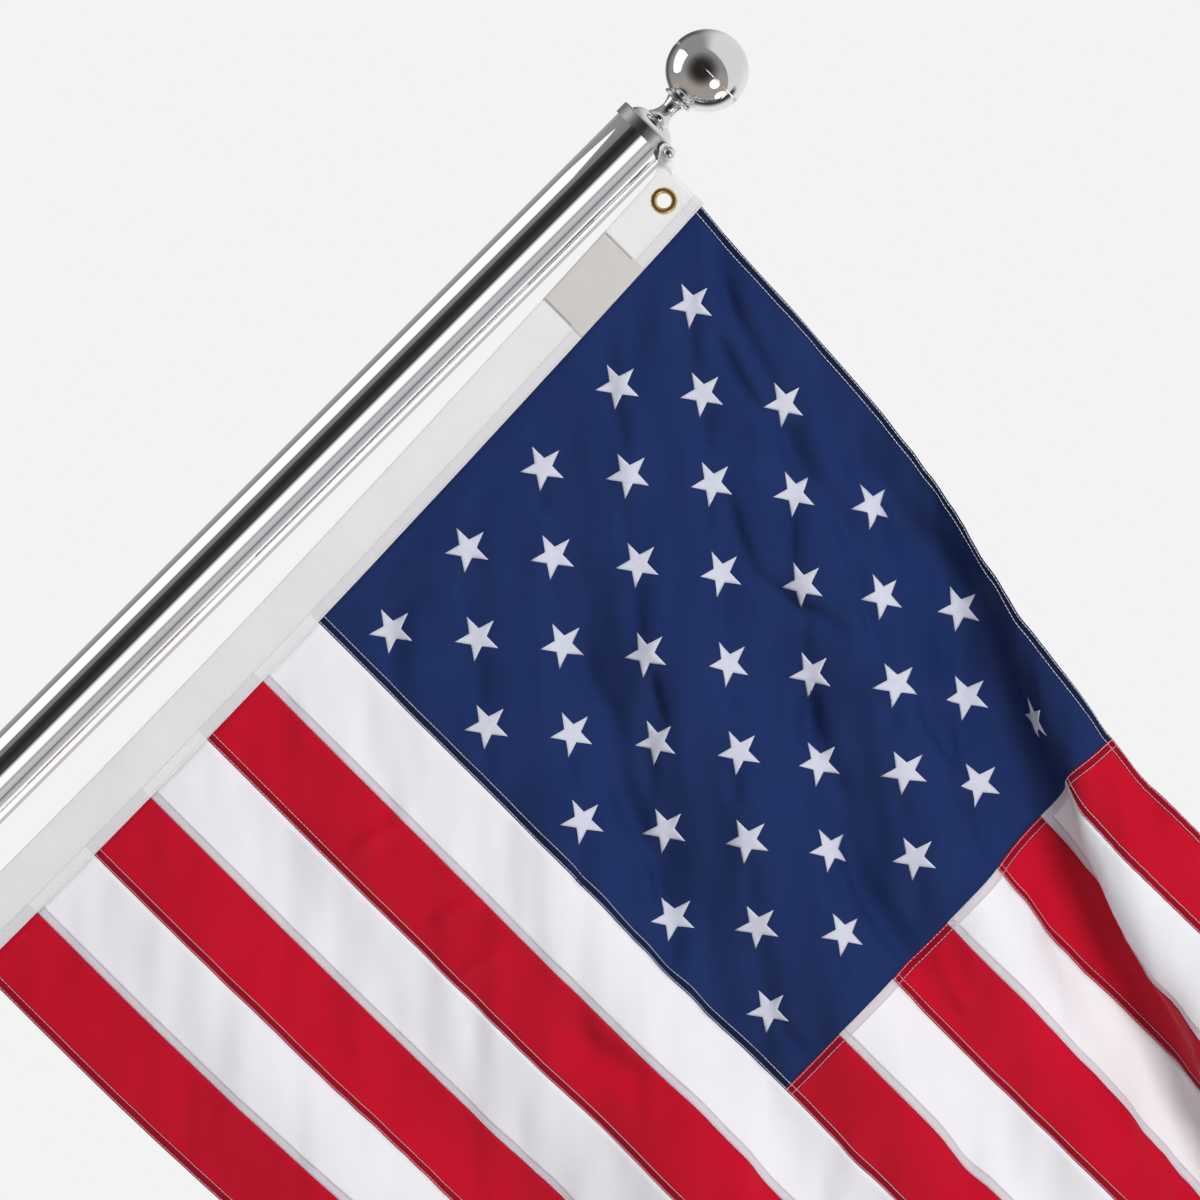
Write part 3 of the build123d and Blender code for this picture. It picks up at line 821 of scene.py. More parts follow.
# %% Label
LABEL_START = 64 * mm
LABEL_LENGTH = 68 * mm
LABEL_THICKNESS = 0.5 * mm
LABEL_GAP = 0.12 * mm
LABEL_ROUNDING = 0.6 * mm
label_share_down = np.concatenate(
    [[0, 0.006, 0.02], np.linspace(0.05, 0.95, 24), [0.98, 0.994, 1]]
)
label_drop = LABEL_START + LABEL_LENGTH * label_share_down
label_share = np.array([0.0, 0.012, 0.04, 0.2, 0.4, 0.6, 0.8, 0.96, 0.988, 1.0])
edge_down = np.minimum(label_drop - label_drop[0], label_drop[-1] - label_drop)
edge_wide = np.minimum(label_share, 1 - label_share) * HEADING_WIDTH
to_edge = np.minimum(edge_down[:, None], edge_wide[None, :])
round_edge = np.minimum(to_edge / LABEL_ROUNDING, 1)
puff = np.interp(label_share, heading_share, heading_puff)[None, :] * HEADING_THICKNESS / 2
lift = puff + LABEL_GAP + LABEL_THICKNESS * np.sqrt(round_edge * (2 - round_edge))
label = heading_piece("label_tape", label_drop, label_share, lift, puff - 0.05 * mm)
check_outward(label)
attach(label, "root")
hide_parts("blank_label")
print("label faces:", len(label.data.polygons))


# %% Stitches on the heading and the label
def heading_stitches(name, rows, pitch, lift):
    """Stitches between two (drop, share) places on the heading."""
    blocks = []
    for (d0, s0), (d1, s1) in rows:
        length = math.hypot(d1 - d0, (s1 - s0) * HEADING_WIDTH)
        count = int(length / pitch)
        share = (np.arange(count) + 0.5) / count
        drop, across = d0 + (d1 - d0) * share, s0 + (s1 - s0) * share
        step_down, step_across = (d1 - d0) / length * mm, (s1 - s0) / length * mm
        centre = on_heading(drop, across, lift)
        ahead = on_heading(drop + step_down, across + step_across, lift)
        blocks.append(laid_stitches(centre, ahead - centre, np.tile(OUT, (len(centre), 1))))
    return stitched(name, blocks)


first_drop, last_drop = 2 * mm, HEADING_LENGTH - 2 * mm
heading_thread = heading_stitches(
    "heading_stitches",
    [((first_drop, share), (last_drop, share)) for share in (0.96, 0.775)],
    STITCH_PITCH,
    HEADING_THICKNESS / 2 * 1.18,
)
label_top = LABEL_START + 1.6 * mm
label_low = LABEL_START + LABEL_LENGTH - 1.6 * mm
label_thread = heading_stitches(
    "label_stitches",
    [((drop, 0.04), (drop, 0.7)) for drop in (label_top, label_low)],
    2.2 * mm,
    HEADING_THICKNESS / 2 + LABEL_GAP + LABEL_THICKNESS,
)
sewn = len(heading_thread.data.polygons) + len(label_thread.data.polygons)
print("stitch faces on the heading and the label:", sewn)

# %% [markdown]
# ## The corner tabs
#
# Short canvas tabs tie the heading's corners to the ball-headed screws. The CAD
# tab has the right bend but sharp edges. A merged copy is remeshed finely and
# relaxed, which rounds its edges like folded cloth, and a few soft wrinkles are
# pressed into it. The tail below the screw is then pressed flat over the heading.

# %% Soft tabs
TAIL_BACK = 0.3 * mm
TAIL_FRONT = HEADING_THICKNESS / 2 + 0.35 * mm
TAB_VOXEL = 0.45 * mm
TAB_WRINKLE = 0.22


def soft_copy(name):
    """A merged copy of a CAD piece, evenly remeshed and relaxed."""
    source = node(name)
    tab = source.copy()
    tab.data = source.data.copy()
    tab.name = name + "_canvas"
    bpy.context.scene.collection.objects.link(tab)
    for key in [key for key in tab.keys() if key.startswith("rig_")]:
        del tab[key]
    bpy.ops.object.select_all(action="DESELECT")
    bpy.context.view_layer.objects.active = tab
    tab.select_set(True)
    bpy.ops.object.mode_set(mode="EDIT")
    bpy.ops.mesh.select_all(action="SELECT")
    bpy.ops.mesh.remove_doubles(threshold=0.01 * mm)
    bpy.ops.object.mode_set(mode="OBJECT")
    remesh = tab.modifiers.new("even", "REMESH")
    remesh.mode = "VOXEL"
    remesh.voxel_size = TAB_VOXEL
    bpy.ops.object.modifier_apply(modifier=remesh.name)
    relax = tab.modifiers.new("soft", "SMOOTH")
    relax.factor = 0.5
    relax.iterations = 6
    bpy.ops.object.modifier_apply(modifier=relax.name)
    return tab


def press_tail(tab):
    """Press soft wrinkles into a tab, and its tail flat over the heading."""
    for vertex in tab.data.vertices:
        x, y, z = vertex.co
        wrinkle = math.sin((x + z) / (2.3 * mm)) * math.sin((x - z) / (3.7 * mm) + y / (2 * mm))
        vertex.co += vertex.normal * TAB_WRINKLE * mm * wrinkle
    drop = HEADING_TOP - np.array([vertex.co[:] for vertex in tab.data.vertices]) @ ALONG
    depth = np.minimum(drop, HEADING_LENGTH - drop)
    lift = np.array([-vertex.co.y - HEADING_PLANE for vertex in tab.data.vertices])
    tail = lift[depth > 4 * mm]
    share = (lift - tail.min()) / (tail.max() - tail.min())
    pressed = TAIL_BACK + (TAIL_FRONT - TAIL_BACK) * np.clip(share, 0, 1)
    lift += (pressed - lift) * eased((depth + 1 * mm) / (5 * mm))
    for vertex, height in zip(tab.data.vertices, lift):
        vertex.co.y = -HEADING_PLANE - height


# %% Make both tabs
for name in ("tab_upper", "tab_lower"):
    tab = soft_copy(name)
    press_tail(tab)
    layer = tab.data.uv_layers.new(name="cloth_uv")
    for loop in tab.data.loops:
        x, y, z = tab.data.vertices[loop.vertex_index].co
        layer.data[loop.index].uv = (x + z, x - z + y)
    tab.data.shade_smooth()
    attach(tab, "root")
    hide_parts(name)
    print(name, "faces:", len(tab.data.polygons))
bpy.ops.object.select_all(action="DESELECT")

# %% [markdown]
# ## Shared shader groups
#
# Two effects are shared between materials. The weave group draws warp and weft
# threads from the UV map and gives a height for bump and a tone that varies a
# little over the cloth. The wear group gives fine scratches and a faint cloudiness for
# polished metals. Each group puts out only values, and the shaders stay in the materials.


# %% Group helpers
def new_group(name, inputs, outputs):
    """An empty shader node group with float inputs (name, default) and outputs."""
    group = bpy.data.node_groups.new(name, "ShaderNodeTree")
    new_socket = group.interface.new_socket
    for title, default in inputs:
        socket = new_socket(title, in_out="INPUT", socket_type="NodeSocketFloat")
        socket.default_value = default
    for title in outputs:
        new_socket(title, in_out="OUTPUT", socket_type="NodeSocketFloat")
    return group, group.nodes.new("NodeGroupInput"), group.nodes.new("NodeGroupOutput")


def math_node(tree, operation, first, second=None):
    """A maths node with numbers or sockets for its inputs."""
    made = tree.nodes.new("ShaderNodeMath")
    made.operation = operation
    for index, value in enumerate((first, second)):
        if value is None:
            continue
        if isinstance(value, (int, float)):
            made.inputs[index].default_value = value
        else:
            tree.links.new(value, made.inputs[index])
    return made.outputs[0]


def noise_node(tree, vector, scale, detail=3.0, roughness=0.5):
    """A noise texture on a vector."""
    made = tree.nodes.new("ShaderNodeTexNoise")
    tree.links.new(vector, made.inputs["Vector"])
    made.inputs["Scale"].default_value = scale
    made.inputs["Detail"].default_value = detail
    made.inputs["Roughness"].default_value = roughness
    return made.outputs["Fac"]


# %% Weave group
weave, weave_in, weave_out = new_group(
    "woven_cloth", [("Threads per metre", 2600.0), ("Slub", 0.5)], ["Height", "Tone"]
)
weave_uv = weave.nodes.new("ShaderNodeUVMap")
weave_uv.uv_map = "cloth_uv"
split = weave.nodes.new("ShaderNodeSeparateXYZ")
weave.links.new(weave_uv.outputs[0], split.inputs[0])
count = math_node(weave, "MULTIPLY", weave_in.outputs["Threads per metre"], math.pi)
warp = math_node(weave, "SINE", math_node(weave, "MULTIPLY", split.outputs["X"], count))
weft = math_node(weave, "SINE", math_node(weave, "MULTIPLY", split.outputs["Y"], count))
crossing = math_node(weave, "MULTIPLY", warp, weft)
slub = noise_node(weave, weave_uv.outputs[0], 90.0, 4.0)
slub = math_node(weave, "MULTIPLY", slub, weave_in.outputs["Slub"])
height = math_node(weave, "ADD", math_node(weave, "MULTIPLY", crossing, 0.5), slub)
weave.links.new(height, weave_out.inputs["Height"])
weave.links.new(noise_node(weave, weave_uv.outputs[0], 14.0, 3.0), weave_out.inputs["Tone"])
print("weave group:", len(weave.nodes), "nodes")

# %% Polish group
polish, polish_in, polish_out = new_group(
    "polished_wear", [("Scratch scale", 260.0), ("Cloud scale", 9.0)], ["Scratch", "Cloud"]
)
polish_place = polish.nodes.new("ShaderNodeTexCoord")
stretch = polish.nodes.new("ShaderNodeMapping")
stretch.inputs["Rotation"].default_value = (0, LEAN, 0)
stretch.inputs["Scale"].default_value = (0.06, 1.0, 1.0)
polish.links.new(polish_place.outputs["Object"], stretch.inputs["Vector"])
scratch = polish.nodes.new("ShaderNodeTexNoise")
polish.links.new(stretch.outputs[0], scratch.inputs["Vector"])
polish.links.new(polish_in.outputs["Scratch scale"], scratch.inputs["Scale"])
scratch.inputs["Detail"].default_value = 6.0
cloud = polish.nodes.new("ShaderNodeTexNoise")
polish.links.new(polish_place.outputs["Object"], cloud.inputs["Vector"])
polish.links.new(polish_in.outputs["Cloud scale"], cloud.inputs["Scale"])
polish.links.new(scratch.outputs["Fac"], polish_out.inputs["Scratch"])
polish.links.new(cloud.outputs["Fac"], polish_out.inputs["Cloud"])
print("shader groups:", [group.name for group in bpy.data.node_groups])


# %% [markdown]
# ## Cloth materials
#
# Nylon bunting is a fine, slightly glossy weave. Its colour hardly varies, so most
# of the look is the weave's bump, a soft sheen and a broad, weak highlight. The seam
# bands use the same recipe with a darker colour, because they are four layers thick.


# %% Helpers for materials
def srgb(red, green, blue):
    """Linear colour from 0 to 255 screen values."""
    values = [c / 255 for c in (red, green, blue)]
    return [v / 12.92 if v <= 0.04045 else ((v + 0.055) / 1.055) ** 2.4 for v in values] + [1.0]


def new_material(name):
    """An empty material with its Principled shader and output."""
    material = bpy.data.materials.new(name)
    material.use_nodes = True
    tree = material.node_tree
    tree.nodes.clear()
    output = tree.nodes.new("ShaderNodeOutputMaterial")
    shader = tree.nodes.new("ShaderNodeBsdfPrincipled")
    tree.links.new(shader.outputs[0], output.inputs["Surface"])
    return material, tree, shader


def ramp(tree, factor, low, high):
    """A colour that runs from low to high with a factor."""
    made = tree.nodes.new("ShaderNodeValToRGB")
    tree.links.new(factor, made.inputs["Fac"])
    made.color_ramp.elements[0].position = 0.3
    made.color_ramp.elements[1].position = 0.7
    made.color_ramp.elements[0].color = low
    made.color_ramp.elements[1].color = high
    return made.outputs["Color"]


def shade(colour, factor):
    """The colour with its light scaled."""
    return [c * factor for c in colour[:3]] + [1.0]


def bump_into(tree, shader, height, strength, distance):
    """A bump from a height, linked to the shader's normal."""
    made = tree.nodes.new("ShaderNodeBump")
    made.inputs["Strength"].default_value = strength
    made.inputs["Distance"].default_value = distance
    tree.links.new(height, made.inputs["Height"])
    tree.links.new(made.outputs[0], shader.inputs["Normal"])


# %% Cloth materials
def cloth_material(name, colour, threads=2600.0, variation=0.06, bump=0.2, roughness=0.6):
    """A woven cloth of one colour, with its weave as a bump and a weak sheen."""
    material, tree, shader = new_material(name)
    group = tree.nodes.new("ShaderNodeGroup")
    group.node_tree = weave
    group.inputs["Threads per metre"].default_value = threads
    low, high = shade(colour, 1 - variation), shade(colour, 1 + variation)
    tree.links.new(ramp(tree, group.outputs["Tone"], low, high), shader.inputs["Base Color"])
    bump_into(tree, shader, group.outputs["Height"], bump, 0.2 * mm)
    shader.inputs["Roughness"].default_value = roughness
    shader.inputs["Specular IOR Level"].default_value = 0.14
    shader.inputs["Sheen Weight"].default_value = 0.02
    shader.inputs["Sheen Roughness"].default_value = 0.4
    return material


NAVY = srgb(28, 45, 91)
RED = srgb(184, 15, 40)
WHITE = srgb(228, 227, 231)
blue_cloth = cloth_material("blue_nylon", NAVY)
red_cloth = cloth_material("red_nylon", RED)
white_cloth = cloth_material("white_nylon", WHITE, variation=0.015)
blue_seam = cloth_material("blue_seam", srgb(20, 30, 62))
red_seam = cloth_material("red_seam", srgb(142, 10, 33))
white_seam = cloth_material("white_seam", srgb(204, 196, 203), variation=0.02)
CANVAS = srgb(223, 222, 222)
CANVAS_WEAVE = {"threads": 1300.0, "variation": 0.03, "bump": 0.6, "roughness": 0.8}
canvas = cloth_material("white_canvas", CANVAS, **CANVAS_WEAVE)
tape = cloth_material(
    "grey_tape", srgb(198, 195, 191), threads=1800.0, variation=0.02, bump=0.4
)

# %% Give the panels and seams their cloth
panels["canton"].data.materials.append(blue_cloth)
for number in range(STRIPES):
    cloth = red_cloth if stripe_is_red(number) else white_cloth
    panels[f"stripe_{number + 1:02d}"].data.materials.append(cloth)
for colour, material in (("blue", blue_seam), ("red", red_seam), ("white", white_seam)):
    seams[colour].data.materials.append(material)
heading_cloth = cloth_material("heading_canvas", CANVAS, **CANVAS_WEAVE)
label.data.materials.append(tape)
print("cloth materials on", len(panels) + len(seams) + 1, "pieces")

# %% The sewn-in edge shows through the heading
SHOW_START = 30.5 * mm
SHOW_STRENGTH = 0.75
tree = heading_cloth.node_tree
shader = tree.nodes["Principled BSDF"]
place_uv = tree.nodes.new("ShaderNodeUVMap")
place_uv.uv_map = "cloth_uv"
split = tree.nodes.new("ShaderNodeSeparateXYZ")
tree.links.new(place_uv.outputs[0], split.inputs[0])
inner = tree.nodes.new("ShaderNodeMapRange")
inner.inputs["From Min"].default_value = SHOW_START - 0.5 * mm
inner.inputs["From Max"].default_value = SHOW_START + 0.5 * mm
tree.links.new(split.outputs["X"], inner.inputs["Value"])
down = math_node(tree, "SUBTRACT", split.outputs["Y"], CLOTH_INSET)
turns = math_node(tree, "DIVIDE", down, 2 * STRIPE)
beside_red = math_node(tree, "LESS_THAN", math_node(tree, "FRACT", turns), 0.5)
beside_canton = math_node(tree, "LESS_THAN", split.outputs["Y"], CLOTH_INSET + canton_low)
dark_cloth = math_node(tree, "MAXIMUM", beside_red, beside_canton)
shows = math_node(tree, "MULTIPLY", inner.outputs[0], dark_cloth)
shows = math_node(tree, "MULTIPLY", shows, SHOW_STRENGTH)
through = tree.nodes.new("ShaderNodeMix")
through.data_type = "RGBA"
tree.links.new(shows, through.inputs["Factor"])
tree.links.new(shader.inputs["Base Color"].links[0].from_socket, through.inputs["A"])
through.inputs["B"].default_value = srgb(206, 204, 208)
tree.links.new(through.outputs["Result"], shader.inputs["Base Color"])
heading.data.materials.append(heading_cloth)
print("the sewn-in edge starts", round(SHOW_START / mm, 1), "mm from the pole side")

# %% [markdown]
# ## Thread materials
#
# Sewing thread is a shiny twisted yarn. On the seams it is light, so it reads as fine
# pale lines on the dark bands. The stars' satin thread gets fine parallel lines from
# its own UV map.


# %% Thread materials
def thread_material(name, colour):
    """A twisted yarn whose tone varies from stitch to stitch."""
    material, tree, shader = new_material(name)
    place_node = tree.nodes.new("ShaderNodeTexCoord")
    tone = noise_node(tree, place_node.outputs["Object"], 900.0)
    tone = ramp(tree, tone, shade(colour, 0.88), shade(colour, 1.03))
    tree.links.new(tone, shader.inputs["Base Color"])
    shader.inputs["Roughness"].default_value = 0.45
    shader.inputs["Sheen Weight"].default_value = 0.2
    return material


THREADS = (
    (stitches["blue"], "pale_blue_thread", (214, 219, 234)),
    (stitches["red"], "pale_red_thread", (240, 182, 188)),
    (stitches["white"], "white_thread", (226, 223, 228)),
    (heading_thread, "canvas_thread", (230, 229, 228)),
    (label_thread, "label_thread", (150, 146, 142)),
)
for piece, name, colour in THREADS:
    piece.data.materials.append(thread_material(name, srgb(*colour)))
print("threads:", [name for piece, name, colour in THREADS])

# %% Satin thread for the stars
SATIN_LINES = 190.0
satin, satin_tree, satin_shader = new_material("satin_thread")
satin_uv = satin_tree.nodes.new("ShaderNodeUVMap")
satin_uv.uv_map = "cloth_uv"
satin_split = satin_tree.nodes.new("ShaderNodeSeparateXYZ")
satin_tree.links.new(satin_uv.outputs[0], satin_split.inputs[0])
lines = math_node(satin_tree, "MULTIPLY", satin_split.outputs["X"], SATIN_LINES)
lines = math_node(satin_tree, "SINE", lines)
satin_place = satin_tree.nodes.new("ShaderNodeTexCoord")
satin_noise = noise_node(satin_tree, satin_place.outputs["Object"], 420.0, 4.0)
half_lines = math_node(satin_tree, "MULTIPLY", lines, 0.5)
satin_height = math_node(satin_tree, "ADD", half_lines, satin_noise)
bump_into(satin_tree, satin_shader, satin_height, 0.25, 0.2 * mm)
satin_colour = srgb(201, 203, 216)
satin_tone = ramp(satin_tree, satin_noise, shade(satin_colour, 0.95), shade(satin_colour, 1.03))
satin_tree.links.new(satin_tone, satin_shader.inputs["Base Color"])
satin_shader.inputs["Roughness"].default_value = 0.5
satin_shader.inputs["Specular IOR Level"].default_value = 0.3
stars.data.materials.append(satin)
print("satin thread has", len(satin_tree.nodes), "nodes")

# %% [markdown]
# ## Metals
#
# The tube and finial are polished chrome: a pale metal, almost a mirror, whose look is
# made by what it reflects. A trace of fine scratches along the tube keeps it real. The
# cap is brushed metal, the bracket is cast aluminium with a fine grain, and the grommets
# are polished brass.


# %% Metal materials
def metal_material(name, colour, rough_low, rough_high, bump, scratch_scale):
    """A metal whose roughness and bump follow fine scratches."""
    material, tree, shader = new_material(name)
    group = tree.nodes.new("ShaderNodeGroup")
    group.node_tree = polish
    group.inputs["Scratch scale"].default_value = scratch_scale
    rough = tree.nodes.new("ShaderNodeMapRange")
    rough.inputs["To Min"].default_value = rough_low
    rough.inputs["To Max"].default_value = rough_high
    tree.links.new(group.outputs["Scratch"], rough.inputs["Value"])
    tree.links.new(rough.outputs[0], shader.inputs["Roughness"])
    tone = ramp(tree, group.outputs["Cloud"], shade(colour, 0.96), shade(colour, 1.03))
    tree.links.new(tone, shader.inputs["Base Color"])
    bump_into(tree, shader, group.outputs["Scratch"], bump, 0.1 * mm)
    shader.inputs["Metallic"].default_value = 1.0
    return material


chrome = metal_material("polished_chrome", srgb(232, 232, 234), 0.012, 0.035, 0.008, 320.0)
brushed = metal_material("brushed_cap", srgb(206, 205, 205), 0.28, 0.34, 0.012, 160.0)
cast = metal_material("cast_aluminium", srgb(176, 178, 182), 0.3, 0.5, 0.35, 900.0)
brass = metal_material("polished_brass", srgb(243, 208, 142), 0.24, 0.34, 0.01, 260.0)
CHROME_NODES = (
    "pole_tube finial_base finial_stem finial_disc finial_ball lower_ring"
    " flag_screw_upper flag_screw_lower clamp_screw_1 clamp_screw_2"
).split()
for name in CHROME_NODES:
    node(name).material_slots[0].material = chrome
node("pole_cap").material_slots[0].material = brushed
node("wall_bracket").material_slots[0].material = cast
for name in ("grommet_upper", "grommet_lower"):
    node(name).material_slots[0].material = brass
for name in ("tab_upper", "tab_lower"):
    tab = bpy.data.objects[name + "_canvas"]
    tab.data.materials.clear()
    tab.data.materials.append(canvas)
print("metals assigned to", len(CHROME_NODES) + 4, "nodes")

# %% [markdown]
# ## Studio
#
# A pale floor lies below the flag's lowest corner and catches its soft shadow. Far
# from the object it fades out, so that no edge of it shows in front of the background.

# %% Floor
FLOOR_DROP = 0.03
floor_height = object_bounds()[0][2] - FLOOR_DROP
FLOOR_SIZE = 16
FLOOR_FADE = (2.2, 6.5)
FLOOR_GLOW = 0.24
STUDIO_PALE = srgb(243, 243, 243)
bpy.ops.mesh.primitive_plane_add(size=FLOOR_SIZE, location=(0.75, 0.0, floor_height))
floor = bpy.context.active_object
floor.name = "studio_floor"
floor_material, floor_tree, floor_shader = new_material("pale_floor")
floor_shader.inputs["Base Color"].default_value = srgb(238, 238, 238)
floor_shader.inputs["Roughness"].default_value = 0.9
floor_shader.inputs["Emission Color"].default_value = STUDIO_PALE
floor_path = floor_tree.nodes.new("ShaderNodeLightPath")
glow = math_node(floor_tree, "MULTIPLY", floor_path.outputs["Is Camera Ray"], FLOOR_GLOW)
floor_tree.links.new(glow, floor_shader.inputs["Emission Strength"])
floor_place = floor_tree.nodes.new("ShaderNodeTexCoord")
reach = floor_tree.nodes.new("ShaderNodeVectorMath")
reach.operation = "LENGTH"
floor_tree.links.new(floor_place.outputs["Object"], reach.inputs[0])
fade = floor_tree.nodes.new("ShaderNodeMapRange")
fade.interpolation_type = "SMOOTHSTEP"
fade.inputs["From Min"].default_value, fade.inputs["From Max"].default_value = FLOOR_FADE
floor_tree.links.new(reach.outputs["Value"], fade.inputs["Value"])
floor_clear = floor_tree.nodes.new("ShaderNodeBsdfTransparent")
floor_mix = floor_tree.nodes.new("ShaderNodeMixShader")
floor_tree.links.new(fade.outputs[0], floor_mix.inputs["Fac"])
floor_tree.links.new(floor_shader.outputs[0], floor_mix.inputs[1])
floor_tree.links.new(floor_clear.outputs[0], floor_mix.inputs[2])
floor_out = floor_tree.nodes["Material Output"]
floor_tree.links.new(floor_mix.outputs[0], floor_out.inputs["Surface"])
floor.data.materials.append(floor_material)
floor.visible_glossy = False
print("floor at", round(floor_height, 3))

# %% [markdown]
# ## The soft box
#
# Polished metal is a picture of the room round it. The largest thing it shows is a
# long soft box beside the pole. The box is a real card, and its end is level with the
# cap, so the white band on the tube runs out there in a rounded tip. Only mirror
# rays can see the card.

# %% Soft box card
CARD_DISTANCE = 1.2
CARD_FROM = math.radians(-112)
CARD_TO = math.radians(-70)
CARD_FOOT = 0.25
CARD_FOOT_ROUNDING = 0.4
CARD_TIP = POLE_TOP - 0.004
CARD_ROUNDING = 0.052
CARD_CORNERS = 50
CARD_STRENGTH = 1.3


def around_pole(angle, distance, along):
    """A point round the pole, at an angle from the camera's side towards the flag."""
    return distance * (math.sin(angle) * ACROSS + math.cos(angle) * OUT) + along * ALONG


card_points = []
for step in range(CARD_CORNERS):
    turn = 2 * math.pi * step / CARD_CORNERS
    angle = CARD_FROM + (CARD_TO - CARD_FROM) * (1 + math.cos(turn)) / 2
    if math.sin(turn) > 0:
        end = CARD_TIP - CARD_ROUNDING * abs(math.cos(turn)) ** 1.3
    else:
        end = CARD_FOOT + CARD_FOOT_ROUNDING * (1 + math.sin(turn))
    card_points.append(around_pole(angle, CARD_DISTANCE, end))
card = add_mesh("soft_box", card_points, [tuple(range(len(card_points)))], smooth=False)
card_material = bpy.data.materials.new("soft_box_light")
card_material.use_nodes = True
card_tree = card_material.node_tree
card_tree.nodes.clear()
card_light = card_tree.nodes.new("ShaderNodeEmission")
card_light.inputs["Strength"].default_value = CARD_STRENGTH
card_out = card_tree.nodes.new("ShaderNodeOutputMaterial")
card_tree.links.new(card_light.outputs[0], card_out.inputs["Surface"])
card.data.materials.append(card_material)
card.visible_camera = False
card.visible_diffuse = False
card.visible_transmission = False
card.visible_shadow = False
print("soft box ends", round(CARD_TIP, 3), "m up the pole")

# %% [markdown]
# ## What else the chrome sees
#
# Seen from the camera, each line along the tube mirrors one direction in the circle
# square to the pole. The world shows these directions a dark room behind the
# camera, bright strips just past it, and pale walls beyond. Directions nearer to the
# pole's own line reach only the ball and its stem: there the room has a light wall
# at the right, a warm dark corner, a pale sweep behind and two small lamps. The camera
# itself sees only the plain pale background, and the cloth only an even light.

# %% World
# angle round the pole from the camera's direction towards the flag, and brightness there
ROOM = (
    (-180, 0.6), (-157, 0.5), (-152, 0.12), (-146, 0.5), (-132, 0.3), (-116, 0.32),
    (-66, 0.26), (-54, 0.22), (-50, 0.05), (-30, 0.02),
    (-6, 0.07), (4, 1.25), (24, 1.3), (29, 0.42), (40, 0.66), (54, 0.5),
    (58, 0.07), (62, 0.5), (78, 0.6), (84, 1.25), (123, 1.25), (131, 0.62),
)
world = bpy.data.worlds.new("studio_world")
world.use_nodes = True
bpy.context.scene.world = world
tree = world.node_tree
tree.nodes.clear()
direction = tree.nodes.new("ShaderNodeTexCoord").outputs["Generated"]


def facing(axis):
    """How far the seen direction points along an axis, from -1 to 1."""
    made = tree.nodes.new("ShaderNodeVectorMath")
    made.operation = "DOT_PRODUCT"
    tree.links.new(direction, made.inputs[0])
    made.inputs[1].default_value = tuple(float(x) for x in axis)
    return made.outputs["Value"]


def smooth_step(value, low, high):
    """A smooth rise from 0 at low to 1 at high."""
    made = tree.nodes.new("ShaderNodeMapRange")
    made.interpolation_type = "SMOOTHSTEP"
    made.inputs["From Min"].default_value = low
    made.inputs["From Max"].default_value = high
    tree.links.new(value, made.inputs["Value"])
    return made.outputs[0]


def blend(factor, first, second):
    """A mix of two colours, given as sockets or numbers."""
    made = tree.nodes.new("ShaderNodeMix")
    made.data_type = "RGBA"
    tree.links.new(factor, made.inputs["Factor"])
    for name, value in (("A", first), ("B", second)):
        if isinstance(value, tuple):
            made.inputs[name].default_value = value
        else:
            tree.links.new(value, made.inputs[name])
    return made.outputs["Result"]


# %% The bands of light round the pole
around = math_node(tree, "ARCTAN2", facing(ACROSS), facing(OUT))
around = math_node(tree, "ADD", math_node(tree, "DIVIDE", around, 2 * math.pi), 0.5)
room = tree.nodes.new("ShaderNodeValToRGB")
tree.links.new(around, room.inputs["Fac"])
for index, (angle, grey) in enumerate(ROOM):
    at = (angle + 180) / 360
    stop = room.color_ramp.elements[0] if index == 0 else room.color_ramp.elements.new(at)
    stop.position = at
    stop.color = (grey, grey, grey * 1.01, 1)
room.color_ramp.elements[-1].position = 1.0
room.color_ramp.elements[-1].color = (ROOM[0][1],) * 3 + (1,)
print("the room has", len(ROOM), "bands round the pole")

# %% The room's far corners
RIGHT, UP = (1, 0, 0), (0, 0, 1)
GREY = (0.30, 0.30, 0.30, 1)
WARM = (0.40, 0.36, 0.32, 1)
DARK_WARM = (0.028, 0.024, 0.022, 1)
DARK = (0.09, 0.09, 0.09, 1)
PALE_WALL = (0.80, 0.80, 0.79, 1)
EDGE = (0.05, 0.05, 0.05, 1)
PALE_SWEEP = (0.9, 0.9, 0.9, 1)
LAMP_WHITE = (1.5, 1.5, 1.5, 1)
# how far from the pole's own line the view of the room's corners begins and is full
ENDS = (0.018, 0.022)
WALL = Vector((0.50, 0.72, 0.37)).normalized()
DARK_SPOT = Vector((-0.26, -0.96, 0.04)).normalized()
# direction of each small lamp, its edge and where it is full
LAMP_SPOTS = (((0.34, -0.72, -0.60), 0.966, 0.978), ((0.473, -0.09, -0.876), 0.970, 0.982))
corner = blend(smooth_step(facing(UP), 0.1, -0.5), GREY, WARM)
corner = blend(smooth_step(facing(DARK_SPOT), 0.55, 0.97), corner, DARK_WARM)
behind = facing(-OUT)
corner = blend(smooth_step(behind, 0.5, 0.85), corner, DARK)
at_wall = smooth_step(facing(WALL), -0.03, 0.03)
at_wall = math_node(tree, "MULTIPLY", at_wall, smooth_step(facing(RIGHT), -0.2, 0.3))
corner = blend(at_wall, corner, PALE_WALL)
edge_line = smooth_step(facing(UP), -0.40, -0.62)
edge_line = math_node(tree, "MULTIPLY", edge_line, smooth_step(behind, 0.05, 0.16))
corner = blend(edge_line, corner, EDGE)
sweep = smooth_step(facing(UP), 0.25, -0.15)
sweep = math_node(tree, "MULTIPLY", sweep, smooth_step(behind, 0.26, 0.62))
sweep = math_node(tree, "MULTIPLY", sweep, smooth_step(facing(RIGHT), -0.55, -0.15))
corner = blend(sweep, corner, PALE_SWEEP)
